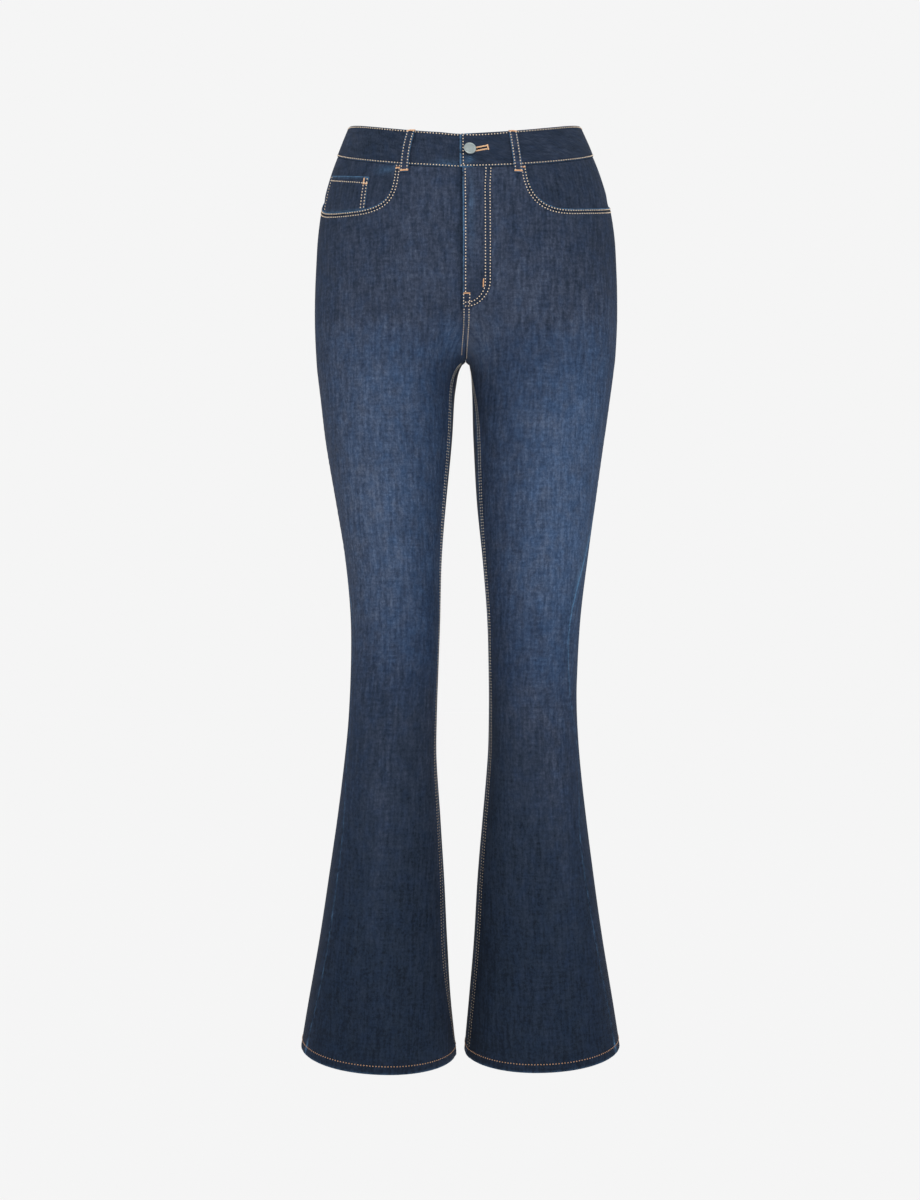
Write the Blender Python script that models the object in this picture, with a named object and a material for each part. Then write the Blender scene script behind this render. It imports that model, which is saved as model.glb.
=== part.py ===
"""Flared five-pocket jeans, filled out as they hang when worn, built piece by piece.

Frame: metres, +Z up, the front faces -Y, the wearer's left is +X. The origin is the middle of the
waist, halfway up the waistband at the side seams, where a waist holds the garment up.
Sizes below are in millimetres and become metres where points are placed.
Every cloth piece is a thin wall that follows one shared form: form(side, turn, z).
"""

import math
from collections import namedtuple

import bmesh
import bpy
from mathutils import Vector

MM = 0.001
WEARERS_RIGHT, WEARERS_LEFT = -1, 1

# ---------------------------------------------------------------- driving sizes
CLOTH = 1.2  # the denim's wall
SEAM_GAP = 0.3  # between pieces at a seam, and between layers
HEM_FOLD = 1.7  # what the turned-up hem adds to the inside of the wall
HEM_HEIGHT = 12.0
BAND_WALL = 2.4
BAND_PROUD = 0.6  # the waistband's face stands this far out of the leg panels
CROTCH = -258.6  # height of the crotch point, where the four leg seams meet
CROTCH_CURVE = 80.0  # the centre seams turn under over this height
ARCH = 20.0  # the gap between the legs rounds over at the crotch over this height
SEAT, THIGH = -165.0, -400.0  # the outside goes over from the hips' section to the leg's
OVER_LEG = -325.0  # where the hips' turns have come to stand over the leg's
CENTRE_SPAN = 0.2  # turn from the centre seams within which they draw the cloth under
CENTRE_SOFT = 0.6  # rounds the valley between the thighs above the crotch
FULLNESS = 2.25  # 2 is an ellipse; above it a section is squarer
SIDE = 0.5  # turn of the side seam on the hips

# Sections of one half of the garment. drop is down from the waist; outer and inner are distances
# from the centre plane; front and back are distances from the side seam's plane.
Section = namedtuple("Section", "drop outer inner front back")
SECTIONS = [
    Section(-34, 127.0, 0.0, 82, 78),
    Section(-16, 132.4, 0.0, 86, 84),
    Section(0, 139.2, 0.0, 90, 90),
    Section(20, 147.4, 0.0, 95, 97),
    Section(45, 157.0, 0.0, 100, 107),
    Section(80, 167.0, 0.0, 104, 119),
    Section(115, 172.5, 0.0, 106, 128),
    Section(150, 174.8, 0.0, 107, 133),
    Section(185, 176.2, 0.0, 107, 132),
    Section(220, 176.3, 3.4, 105, 126),
    Section(258.6, 174.3, 7.0, 101, 114),
    Section(278, 172.3, 8.8, 99, 108),
    Section(302, 169.0, 11.0, 96, 102),
    Section(349, 162.6, 13.0, 91, 94),
    Section(419, 151.4, 18.7, 82, 84),
    Section(489, 140.6, 24.4, 72, 74),
    Section(560, 133.6, 28.0, 64, 66),
    Section(630, 132.2, 30.2, 59, 62),
    Section(676, 133.4, 31.0, 58, 63),
    Section(723, 137.2, 29.8, 59, 66),
    Section(793, 145.3, 25.2, 63, 72),
    Section(864, 155.0, 19.9, 69, 78),
    Section(934, 165.3, 16.0, 76, 83),
    Section(1004, 177.0, 10.6, 83, 87),
    Section(1070, 187.6, 5.0, 89, 90),
]

# How far the seams have swung forward of the sides of the leg, in degrees round it, and how far
# the whole garment, and then the gap between the legs, has swayed towards the wearer's left.
Swing = namedtuple("Swing", "drop inseam_right inseam_left side_right side_left sway gap")
SWINGS = [
    Swing(-40, 0, 0, 0, 0, 0.0, 0.0),
    Swing(120, 0, 0, 0, 0, 1.9, 0.0),
    Swing(258.6, 0, 0, 0, 0, 1.6, 0.0),
    Swing(302, 14, 20, 2, 2, 1.2, -1.7),
    Swing(361, 21, 27, 4, 4, 0.4, -2.6),
    Swing(430, 22, 24, 5, 7, 1.4, -4.6),
    Swing(490, 22, 20, 8, 18, 2.2, -4.6),
    Swing(560, 22, 17, 17, 36, 1.2, -1.8),
    Swing(653, 22, 17, 18, 29, -1.6, 0.0),
    Swing(735, 22, 20, 26, 20, -2.8, 0.0),
    Swing(830, 22, 24, 33, 33, -3.6, 0.0),
    Swing(950, 22, 24, 31, 29, -4.2, 0.0),
    Swing(1070, 14, 24, 24, 22, -4.9, 0.0),
]
CENTRE_LAP = 0.0078  # turn by which the left front's edge laps the right one's at the centre
CENTRE_LAP_OVER = 44.0  # it comes from nothing at the crotch over this height

# Heights at the side seams, and how far each edge dips at the front and rises at the back.
# round says how fast the edge swings from its height at the side to those.
Edge = namedtuple("Edge", "side front_dip back_rise round")
RIM = Edge(10.0, 28.6, 12.0, 2.0)
WAIST_SEAM = Edge(-21.0, 37.8, 9.0, 1.3)
YOKE_SEAM = Edge(-58.0, 0.0, -14.0, 1.6)
HEM, HEM_FRONT_DIP, HEM_OUTER_RISE = -1059.6, 6.4, 2.0
HEM_INNER_DIPS = {WEARERS_RIGHT: 9.0, WEARERS_LEFT: 5.0}

# The front pocket's scoop: the turn at which it leaves the waist seam, how square its corner is,
# its depth, and how far it rises again on its way to the side seam.
Scoop = namedtuple("Scoop", "start square depth rise")
SCOOPS = {
    WEARERS_RIGHT: Scoop(0.159, 4.8, 54.6, 24.0),
    WEARERS_LEFT: Scoop(0.133, 3.9, 54.4, 28.0),
}
FACING_WALL = 1.0
FACING_UNDER, FACING_SIDEWAYS = 10.0, 0.018  # it runs on under the panel, in mm and in turn
FACING_CORNER = 0.05  # share of the scoop after which the facing's foot follows it

COIN_INNER, COIN_OUTER = 0.182, 0.705  # its edges, as shares of the scoop's width
COIN_TOP_INNER, COIN_TOP_OUTER = -64.6, -51.0  # heights of its top edge at those
COIN_WALL, COIN_CLEAR = 0.9, 1.2
FLY_LEFT, FLY_RIGHT, FLY_FOOT, FLY_WALL = -4.2, 28.0, -212.4, 1.1
FLY_CURVE, FLY_FOOT_WIDE = 28.0, 3.0  # the outer edge swings in over this height, to this width
# Where the belt loops stand: distances from the centre plane of their tops and feet, and the
# turns between which to look for those, and how far below the waist seam each ends.
Loop = namedtuple("Loop", "place side top foot start end below")
LOOPS = [
    Loop("front_right", WEARERS_RIGHT, 60.0, 68.6, 0.0, SIDE, 10.6),
    Loop("front_left", WEARERS_LEFT, 52.8, 58.6, 0.0, SIDE, 9.2),
    Loop("rear_right", WEARERS_RIGHT, 88.0, 96.0, 1.0, SIDE, 8.5),
    Loop("rear_left", WEARERS_LEFT, 88.0, 96.0, 1.0, SIDE, 9.5),
    Loop("centre_back", WEARERS_LEFT, 0.0, 0.0, 1.0, SIDE, 9.0),
]
LOOP_WIDE, LOOP_WALL, LOOP_LIFT = 9.6, 1.6, 1.9
LOOP_UNDER_RIM = 1.2
LOOP_SWELL = 0.8  # below 1, a loop leaves the cloth sharply at its tacks
BUTTON_X, BUTTON_Z = 4.0, -39.2
BUTTON_RADIUS, BUTTON_THICK, BUTTON_LIFT, SHANK_RADIUS = 7.0, 2.6, 1.6, 1.9
BUTTON_TILT = Vector((0.15, 0, 0.1))  # how far it leans from straight out of the band
BUTTONHOLE_LONG, BUTTONHOLE_WIDE, BUTTONHOLE_ROUND, BUTTONHOLE_CLEAR = 23.0, 5.0, 2.0, 1.0
OVER_EDGE = -6.6  # the waistband's over end
OVERLAP = 30.0  # how far the waistband's under end reaches past the centre
OVERLAP_SETTLE = 0.055  # turn over which the under end comes out level with the rest
BACK_POCKET_WIDE, BACK_POCKET_TALL, BACK_POCKET_POINT = 132.0, 142.0, 16.0
BACK_POCKET_TAPER = 0.86  # the foot's width against the top's
BACK_POCKET_OUT, BACK_POCKET_LEAN = 95.0, 5.0  # middle, along the cloth from the centre seam
BACK_POCKET_TOP, BACK_POCKET_WALL, BACK_POCKET_FOLD = -94.0, 1.2, 0.6


# ---------------------------------------------------------------- the shared form
def read(rows, column, drop):
    """A column of a table at any drop, on a smooth curve through its rows."""
    last = len(rows) - 1
    k = next((i for i in range(last) if drop < rows[i + 1].drop), last - 1)

    def slope(i):
        low, high = rows[max(i - 1, 0)], rows[min(i + 1, last)]
        return (getattr(high, column) - getattr(low, column)) / (high.drop - low.drop)

    step = rows[k + 1].drop - rows[k].drop
    s = min(max((drop - rows[k].drop) / step, 0.0), 1.0)
    first, second = getattr(rows[k], column), getattr(rows[k + 1], column)
    return (
        first * (2 * s**3 - 3 * s**2 + 1)
        + second * (3 * s**2 - 2 * s**3)
        + slope(k) * step * (s**3 - 2 * s**2 + s)
        + slope(k + 1) * step * (s**3 - s**2)
    )


def mix(a, b, share):
    return a + (b - a) * share


def ease(s):
    s = min(max(s, 0.0), 1.0)
    return s * s * (3 - 2 * s)


def oval(angle, across, along):
    """(sine side, cosine side) of a point on a full, slightly squared oval."""
    s, c = math.sin(angle), math.cos(angle)
    reach = (abs(s) ** FULLNESS + abs(c) ** FULLNESS) ** (-1 / FULLNESS)
    return reach * s * across, reach * c * along


def quarter_arch(s):
    """Falls from 1 at s = 0 to 0 at s = 1 along a quarter circle, upright at first."""
    return 1 - math.sqrt(1 - (1 - min(max(s, 0.0), 1.0)) ** 2)


def near_centre(turn):
    """1 at the centre seams and the inseam, falling to 0 some way round from them."""
    return 1 - ease(min(turn, 1 - turn) / CENTRE_SPAN)


def hip_share(turn, z):
    """How far a point follows the hips' section and not the leg's. This changes slowly down the
    outside of the thigh, and fast at the centre seams, which turn under to meet at the crotch."""
    outside = ease((z - THIGH) / (SEAT - THIGH))
    at_centre = 1 - quarter_arch((z - CROTCH) / CROTCH_CURVE)
    return mix(outside, at_centre, near_centre(turn))


def hip_angle(turn, z):
    """The direction of a turn on the hips' section. Below the seat the turns of the front and the
    back move in, until they stand over the same turns of the leg."""
    across, along = math.sin(math.pi * turn) ** 2, math.cos(math.pi * turn)
    over_leg = math.atan2(across, along * math.sqrt(1 + across))
    moved_in = ease((SEAT - z) / (SEAT - OVER_LEG)) * (1 - near_centre(turn))
    return mix(math.pi * turn, over_leg, moved_in)


def half_section(side, turn, z):
    """(x, y) of one half's section at a height: 0 is the front inner end, 0.5 the side, 1 the back.
    It is one leg well below the crotch, half the hips well above it, and a blend between."""
    outer, front, back = (read(SECTIONS, column, -z) for column in ("outer", "front", "back"))
    inner = read(SECTIONS, "inner", -z) + side * read(SWINGS, "gap", -z)
    across, along, middle = (outer - inner) / 2, (front + back) / 2, (back - front) / 2
    leg_side, leg_in = oval(2 * math.pi * turn, along, across)
    closed = inner * quarter_arch((CROTCH - z) / ARCH)
    leg_x = (outer + inner) / 2 - leg_in - closed * near_centre(turn)
    soft = along * CENTRE_SOFT * min(max((z - CROTCH) / CROTCH_CURVE, 0.0), 1.0) ** 2
    rounded = (math.hypot(leg_side, soft) - soft) * along / (math.hypot(along, soft) - soft)
    leg_y = middle - math.copysign(rounded, leg_side)
    hip_x, hip_y = oval(hip_angle(turn, z), outer, front if turn < 0.5 else back)
    hips = hip_share(turn, z)
    return mix(leg_x, hip_x, hips), mix(leg_y, -hip_y, hips)


def form(side, turn, z):
    """A point of the garment's outer form. Above the crotch it runs on past the centre seams."""
    across = 1
    if z >= CROTCH and not 0 <= turn <= 1:
        turn, across = (-turn if turn < 0 else 2 - turn), -1
    x, y = half_section(side, turn, z)
    return Vector((side * (across * x + SEAM_GAP / 2) + read(SWINGS, "sway", -z), y, z))


def outward(side, turn, z):
    """The form's outward direction. It is straight down at the crotch point, for all four panels."""
    step, rise, reach, pull = 0.006, 1.5, 5.0, 40.0
    round_it = form(side, turn + step, z) - form(side, turn - step, z)
    if z >= CROTCH and (turn == 0 or turn == 1):
        round_it = Vector((side, 0, 0)) * (1 if turn == 0 else -1)
    down = form(side, turn, z - rise) - form(side, turn, z + rise)
    normal = round_it.cross(down).normalized() * -side
    crotch = Vector((0, half_section(side, 0, CROTCH)[1], CROTCH))
    away = (form(side, turn, z) - crotch).length
    normal += Vector((0, 0, -pull)) * math.exp(-((away / reach) ** 2))
    return normal.normalized()


def inseam_turn(side, z):
    column = "inseam_left" if side == WEARERS_LEFT else "inseam_right"
    return 0.0 if z >= CROTCH else read(SWINGS, column, -z) / 360


def side_turn(side, z):
    column = "side_left" if side == WEARERS_LEFT else "side_right"
    return SIDE - read(SWINGS, column, -z) / 360


def centre_turn(side, z):
    """Turn of a front panel's inner edge: the lapped centre front, then the inseam."""
    return inseam_turn(side, z) - side * CENTRE_LAP * ease((z - CROTCH) / CENTRE_LAP_OVER)


def edge_height(edge, turn):
    """Height of a level edge round the waist: it dips at the front and rises at the back."""
    facing = math.cos(math.pi * turn)
    share = abs(facing) ** edge.round
    return edge.side - edge.front_dip * share if facing > 0 else edge.side + edge.back_rise * share


def hem_height(side, turn):
    around = 2 * math.pi * turn
    inner_dip = HEM_INNER_DIPS[side] * (1 + math.cos(around)) / 2
    outer_rise = HEM_OUTER_RISE * (1 - math.cos(around)) / 2
    return HEM - HEM_FRONT_DIP * math.sin(around) ** 2 - inner_dip + outer_rise


def scoop_height(side, turn):
    """Height of the front pocket's edge."""
    scoop = SCOOPS[side]
    q = min(max((turn - scoop.start) / (SIDE - scoop.start), 0.0), 1.0)
    fall = (1 - (1 - q) ** scoop.square) ** (1 / scoop.square)
    return edge_height(WAIST_SEAM, scoop.start) - scoop.depth * fall + scoop.rise * q * q


HALVINGS = 30


def turn_across(side, x, z, start=0.0, end=SIDE):
    """The turn at which the form is x from the centre plane, between two turns, found by halving."""
    rising = half_section(side, end, z)[0] > half_section(side, start, z)[0]
    for _ in range(HALVINGS):
        middle = (start + end) / 2
        if (half_section(side, middle, z)[0] < x) == rising:
            start = middle
        else:
            end = middle
    return (start + end) / 2


def turn_along(side, distance, z, start, way):
    """The turn reached by following the form for a distance from another turn."""
    step = 0.004 * way
    turn, here = start, form(side, start, z)
    while True:
        there = form(side, turn + step, z)
        length = (there - here).length
        if length >= distance:
            return turn + step * distance / length
        distance -= length
        turn, here = turn + step, there


# ---------------------------------------------------------------- making solids
def clear_scene():
    for thing in list(bpy.data.objects):
        bpy.data.objects.remove(thing, do_unlink=True)


def material(name, colour, roughness, metallic=0.0):
    made = bpy.data.materials.new(name)
    made.use_nodes = True
    shader = made.node_tree.nodes["Principled BSDF"]
    shader.inputs["Base Color"].default_value = (*colour, 1)
    shader.inputs["Roughness"].default_value = roughness
    shader.inputs["Metallic"].default_value = metallic
    return made


def finish_piece(name, bm, finish, angle=40):
    """Turns a bmesh into a named object with its material."""
    bmesh.ops.recalc_face_normals(bm, faces=bm.faces[:])
    mesh = bpy.data.meshes.new(name)
    bm.to_mesh(mesh)
    bm.free()
    mesh.shade_smooth()
    mesh.set_sharp_from_angle(angle=math.radians(angle))
    mesh.materials.append(finish)
    piece = bpy.data.objects.new(name, mesh)
    bpy.context.scene.collection.objects.link(piece)
    return piece


def wall(name, finish, columns, rows, place):
    """A closed wall of cloth. place(i, j, layer) is the point of column i and row j, in
    millimetres, on the outer face where layer is 0 and on the inner face where it is 1."""
    bm = bmesh.new()
    layers = []
    for layer in (0, 1):
        made = bmesh.ops.create_grid(bm, x_segments=columns, y_segments=rows, size=0.5)["verts"]
        for vert in made:
            i, j = round((vert.co.x + 0.5) * columns), round((vert.co.y + 0.5) * rows)
            vert.co = place(i, j, layer) * MM
        layers.append(made)
    rim = [e for e in bm.edges if e.is_boundary]
    bmesh.ops.bridge_loops(bm, edges=rim)
    return finish_piece(name, bm, finish)


TRIM_LOOK = 0.002


def shell_point(side, turn, z, depth):
    """The form's point, moved in by depth (out where depth is negative)."""
    return form(side, turn, z) - outward(side, turn, z) * depth


def length_per_turn(side, turn, z):
    """How fast the form runs past a turn, in millimetres for each whole turn."""
    step = 0.002
    return max((form(side, turn + step, z) - form(side, turn - step, z)).length / (2 * step), 1.0)


def trim_turn(side, turn, z, towards):
    """A turn moved by half the seam gap, so that two panels stay apart."""
    return turn + towards * SEAM_GAP / 2 / length_per_turn(side, turn + towards * TRIM_LOOK, z)


# ---------------------------------------------------------------- the leg panels
# Rows below the pocket: they crowd at the crotch, where the seams turn under.
HIP_ROW = -125.0
LEG_ROWS = [-145, -165, -183, -200, -216, -229, -240, -248.5, -254.5, -257.8, CROTCH]
LEG_ROWS += [-260.6, -264.5, -271, -281, -296, -318]
SHIN_ROWS = 17
TOP_ROWS = 5
FOLD_STEP = 0.4  # half the height over which the hem's fold thickens the wall
PLAIN_COLUMNS = 4
SCOOP_STOPS = [0.008, 0.045, 0.11, COIN_INNER, 0.32, 0.48, 0.61, COIN_OUTER, 0.87, 1.0]


def front_stops(side):
    """Turns of the front panel's columns: even as far as the pocket, then along its scoop."""
    first, start = -side * CENTRE_LAP, SCOOPS[side].start
    plain = [mix(first, start, i / PLAIN_COLUMNS) for i in range(PLAIN_COLUMNS + 1)]
    return plain + [mix(start, SIDE, q) for q in SCOOP_STOPS]


BACK_COLUMNS = 12
EVENING = 120.0  # a front panel's columns even out over this height below its top


def leg_row_height(j, top, hem):
    """Height of row j of a panel whose edges run from top to hem."""
    if j <= TOP_ROWS:
        return mix(top, HIP_ROW, j / TOP_ROWS)
    j -= TOP_ROWS + 1
    if j < len(LEG_ROWS):
        return LEG_ROWS[j]
    j -= len(LEG_ROWS) - 1
    fold = hem + HEM_HEIGHT
    if j <= SHIN_ROWS:
        return mix(LEG_ROWS[-1], fold + FOLD_STEP, j / SHIN_ROWS)
    return fold - FOLD_STEP if j == SHIN_ROWS + 1 else hem


PANEL_ROWS = TOP_ROWS + len(LEG_ROWS) + SHIN_ROWS + 2


def panel_depth(j, layer):
    hem_rows = PANEL_ROWS - 1
    return layer * (CLOTH + (HEM_FOLD if j >= hem_rows else 0))


def front_panel(side, name, finish):
    stops = front_stops(side)
    columns = len(stops) - 1

    def place(i, j, layer):
        stop, even = stops[i], i / columns
        seam = edge_height(WAIST_SEAM, stop) - SEAM_GAP
        top = seam if i <= PLAIN_COLUMNS else scoop_height(side, stop)
        hem = hem_height(side, mix(inseam_turn(side, HEM), side_turn(side, HEM), even))
        z = leg_row_height(j, top, hem)
        along_top = (stop - stops[0]) / (SIDE - stops[0])
        share = mix(along_top, even, ease((top - z) / EVENING))
        turn = mix(centre_turn(side, z), side_turn(side, z), share)
        if i == 0 and z <= CROTCH:
            turn = trim_turn(side, turn, z, 1)
        if i == columns:
            turn = trim_turn(side, turn, z, -1)
        return shell_point(side, turn, z, panel_depth(j, layer))

    return wall(name, finish, columns, PANEL_ROWS, place)


def back_panel(side, name, finish):
    def place(i, j, layer):
        share = i / BACK_COLUMNS
        top = edge_height(YOKE_SEAM, mix(SIDE, 1, share)) - SEAM_GAP
        hem = hem_height(side, mix(side_turn(side, HEM), 1 + inseam_turn(side, HEM), share))
        z = leg_row_height(j, top, hem)
        turn = mix(side_turn(side, z), 1 + inseam_turn(side, z), share)
        if i == 0:
            turn = trim_turn(side, turn, z, 1)
        if i == BACK_COLUMNS and z <= CROTCH:
            turn = trim_turn(side, turn, z, -1)
        return shell_point(side, turn, z, panel_depth(j, layer))

    return wall(name, finish, BACK_COLUMNS, PANEL_ROWS, place)


def yoke(side, name, finish):
    """The shaped piece between the waistband and the back panel."""
    columns, rows = BACK_COLUMNS, 3

    def place(i, j, layer):
        turn = mix(SIDE, 1, i / columns)
        top, foot = edge_height(WAIST_SEAM, turn) - SEAM_GAP, edge_height(YOKE_SEAM, turn)
        z = mix(top, foot, j / rows)
        if i == 0:
            turn = trim_turn(side, turn, z, 1)
        return shell_point(side, turn, z, layer * CLOTH)

    return wall(name, finish, columns, rows, place)


# ---------------------------------------------------------------- pockets
def pocket_facing(side, name, finish):
    """The denim behind the pocket's scoop. It runs on a little way under the front panel."""
    start = SCOOPS[side].start
    stops = [start - FACING_SIDEWAYS] + front_stops(side)[PLAIN_COLUMNS:]
    columns, rows = len(stops) - 1, 5
    lift = CLOTH + SEAM_GAP

    def place(i, j, layer):
        turn = stops[i]
        top = edge_height(WAIST_SEAM, turn) - SEAM_GAP
        foot = scoop_height(side, max(turn, mix(start, SIDE, FACING_CORNER))) - FACING_UNDER
        z = mix(top, foot, j / rows)
        if i == columns:
            turn = trim_turn(side, turn, z, -1)
        return shell_point(side, turn, z, lift + layer * FACING_WALL)

    return wall(name, finish, columns, rows, place)


def coin_pocket(side, name, finish):
    """The small patch on the facing; the front panel's edge covers its foot."""
    shares = [share for share in SCOOP_STOPS if COIN_INNER <= share <= COIN_OUTER]
    columns, rows = len(shares) - 1, 4
    lift = CLOTH - COIN_WALL

    def place(i, j, layer):
        turn = mix(SCOOPS[side].start, SIDE, shares[i])
        across = (shares[i] - COIN_INNER) / (COIN_OUTER - COIN_INNER)
        top = mix(COIN_TOP_INNER, COIN_TOP_OUTER, across)
        z = mix(top, scoop_height(side, turn) + COIN_CLEAR, j / rows)
        return shell_point(side, turn, z, lift + layer * COIN_WALL)

    return wall(name, finish, columns, rows, place)


def back_pocket(side, name, finish):
    """A plain patch pocket with a pointed foot and a folded, thicker top edge."""
    columns, rows = 12, 10

    def place(i, j, layer):
        across, down = i / columns * 2 - 1, j / rows
        half_wide = BACK_POCKET_WIDE / 2 * mix(1.0, BACK_POCKET_TAPER, down)
        point = BACK_POCKET_POINT * (1 - abs(across)) * ease((down - 0.5) * 2)
        z = BACK_POCKET_TOP - (BACK_POCKET_TALL - BACK_POCKET_POINT) * down - point
        out = BACK_POCKET_OUT + BACK_POCKET_LEAN * down + across * half_wide
        turn = turn_along(side, out, z, 1.0, -1)
        fold = BACK_POCKET_FOLD if j <= 1 else 0.0
        lift = SEAM_GAP + (1 - layer) * (BACK_POCKET_WALL + fold)
        return shell_point(side, turn, z, -lift)

    return wall(name, finish, columns, rows, place)


# ---------------------------------------------------------------- waistband, loops, fly, button
BAND_COLUMNS = 62


def band_run(share):
    """(side, turn, depth) along the band, from its under end round the back to its over end."""
    z = BUTTON_Z
    under = turn_across(WEARERS_LEFT, OVERLAP, z)
    over = turn_across(WEARERS_RIGHT, -OVER_EDGE, z)
    run = mix(-under, 2 + over, share)
    depth = (BAND_WALL + SEAM_GAP) * (1 - ease((run - over) / OVERLAP_SETTLE))
    if run < 0:
        return WEARERS_LEFT, -run, depth
    if run <= 1:
        return WEARERS_RIGHT, run, depth
    if run <= 2:
        return WEARERS_LEFT, 2 - run, depth
    return WEARERS_RIGHT, run - 2, depth


def waistband(name, finish):
    rows = 4

    def place(i, j, layer):
        side, turn, depth = band_run(i / BAND_COLUMNS)
        z = mix(edge_height(RIM, turn), edge_height(WAIST_SEAM, turn), j / rows)
        return shell_point(side, turn, z, depth - BAND_PROUD + layer * BAND_WALL)

    band = wall(name, finish, BAND_COLUMNS, rows, place)
    cutter = buttonhole_cutter()
    cut = band.modifiers.new("buttonhole", "BOOLEAN")
    cut.operation, cut.object = "DIFFERENCE", cutter
    return band


def front_point(x, z, depth=0.0):
    """A point on the front of the form by its distance from the centre plane."""
    side = WEARERS_LEFT if x >= 0 else WEARERS_RIGHT
    return shell_point(side, turn_across(side, abs(x), z), z, depth)


def buttonhole_cutter():
    """Cuts the slot through the band's over end only."""
    start = BUTTON_X - SHANK_RADIUS - BUTTONHOLE_CLEAR
    middle = front_point(start + BUTTONHOLE_LONG / 2, BUTTON_Z)
    bm = bmesh.new()
    bmesh.ops.create_cube(bm, size=1)
    deep = 2 * (BAND_WALL + SEAM_GAP)
    for vert in bm.verts:
        vert.co.x *= BUTTONHOLE_LONG * MM
        vert.co.y *= deep * MM
        vert.co.z *= BUTTONHOLE_WIDE * MM
    ends = [e for e in bm.edges if abs(e.verts[0].co.y - e.verts[1].co.y) > deep * MM / 2]
    bmesh.ops.bevel(
        bm, geom=ends, offset=BUTTONHOLE_ROUND * MM, segments=3, profile=0.5, affect="EDGES"
    )
    cutter = finish_piece(name="buttonhole_cutter", bm=bm, finish=bpy.data.materials["denim"])
    cutter.location = (middle + Vector((0, -BAND_PROUD, 0))) * MM
    cutter.hide_render = True
    cutter.display_type = "WIRE"
    return cutter


def belt_loop(name, finish, loop):
    """A doubled strip, tacked at both ends and standing a little off the band between them."""
    columns, rows = 2, 8
    middle = turn_across(loop.side, loop.top, RIM.side, loop.start, loop.end)
    top = edge_height(RIM, middle) - LOOP_UNDER_RIM
    foot = edge_height(WAIST_SEAM, middle) - loop.below

    def place(i, j, layer):
        down = j / rows
        z = mix(top, foot, down)
        across = mix(loop.top, loop.foot, down)
        turn = turn_across(loop.side, across, z, loop.start, loop.end)
        turn += (i / columns - 0.5) * LOOP_WIDE / length_per_turn(loop.side, turn, z)
        lift = BAND_PROUD + SEAM_GAP + LOOP_LIFT * math.sin(math.pi * down) ** LOOP_SWELL
        return shell_point(loop.side, turn, z, -lift - (1 - layer) * LOOP_WALL)

    return wall(name, finish, columns, rows, place)


def fly_edge(z):
    """Distance from the centre of the fly's curved edge, which swings in at its foot."""
    above = min(max((z - FLY_FOOT) / FLY_CURVE, 0.0), 1.0)
    return mix(FLY_LEFT + FLY_FOOT_WIDE, FLY_RIGHT, math.sqrt(1 - (1 - above) ** 2))


def fly(name, finish):
    """The placket that covers the front opening, lapped over the wearer's right side."""
    columns, rows = 5, 14
    top = edge_height(WAIST_SEAM, 0) - SEAM_GAP

    def place(i, j, layer):
        down = math.sin(math.pi / 2 * j / rows)
        z = mix(top, FLY_FOOT, down)
        x = mix(FLY_LEFT, fly_edge(z), i / columns)
        return front_point(x, z, -SEAM_GAP - (1 - layer) * FLY_WALL)

    return wall(name, finish, columns, rows, place)


# The button's cap from the middle of its face round to its back: radius as a share of the
# button's, height above its back as a share of its thickness.
Turned = namedtuple("Turned", "radius height")
BUTTON_CAP = [
    Turned(0.0, 1.0),
    Turned(0.55, 0.94),
    Turned(0.8, 0.88),
    Turned(0.95, 0.71),
    Turned(1.0, 0.45),
    Turned(0.94, 0.08),
    Turned(0.8, 0.0),
]


def button(name, finish):
    """A turned shank button: domed cap with a rolled edge, on a shank through the buttonhole."""
    seat = front_point(BUTTON_X, BUTTON_Z)
    direction = outward(WEARERS_LEFT, turn_across(WEARERS_LEFT, BUTTON_X, BUTTON_Z), BUTTON_Z)
    direction += BUTTON_TILT
    face = BAND_PROUD + BUTTON_LIFT
    cap = [(row.radius * BUTTON_RADIUS, face + row.height * BUTTON_THICK) for row in BUTTON_CAP]
    foot = BAND_PROUD - BAND_WALL
    profile = cap + [(SHANK_RADIUS, face), (SHANK_RADIUS, foot), (0, foot)]
    bm = bmesh.new()
    line = [bm.verts.new((radius * MM, 0, height * MM)) for radius, height in profile]
    edges = [bm.edges.new(pair) for pair in zip(line, line[1:])]
    bmesh.ops.spin(
        bm,
        geom=line + edges,
        axis=(0, 0, 1),
        angle=2 * math.pi,
        steps=24,
        use_merge=True,
    )
    bmesh.ops.remove_doubles(bm, verts=bm.verts[:], dist=0.01 * MM)
    made = finish_piece(name, bm, finish)
    made.rotation_mode = "QUATERNION"
    made.rotation_quaternion = direction.to_track_quat("Z", "Y")
    made.location = seat * MM
    return made


# ---------------------------------------------------------------- the garment
def main():
    clear_scene()
    denim = material("denim", (0.022, 0.045, 0.098), 0.85)
    metal = material("button_metal", (0.62, 0.65, 0.66), 0.35, 1.0)
    for side, hand in ((WEARERS_RIGHT, "right"), (WEARERS_LEFT, "left")):
        front_panel(side, f"front_{hand}", denim)
        back_panel(side, f"back_{hand}", denim)
        yoke(side, f"yoke_{hand}", denim)
        pocket_facing(side, f"pocket_facing_{hand}", denim)
        back_pocket(side, f"back_pocket_{hand}", denim)
    for loop in LOOPS:
        belt_loop(f"belt_loop_{loop.place}", denim, loop)
    coin_pocket(WEARERS_RIGHT, "coin_pocket", denim)
    fly("fly", denim)
    waistband("waistband", denim)
    button("button", metal)


main()
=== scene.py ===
"""The looks of a pair of flared five-pocket jeans: washed navy denim, tan topstitching, one plain
shank button, filled out as when worn.

Everything is in the garment's own frame: +Z up, the front faces -Y, the wearer's left is +X and the
origin is the middle of the waist. Sizes are in millimetres and become metres where meshes are made.
"""

import math

import bmesh
import bpy
import numpy as np
from mathutils import Matrix, Vector
from mathutils.bvhtree import BVHTree


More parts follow.
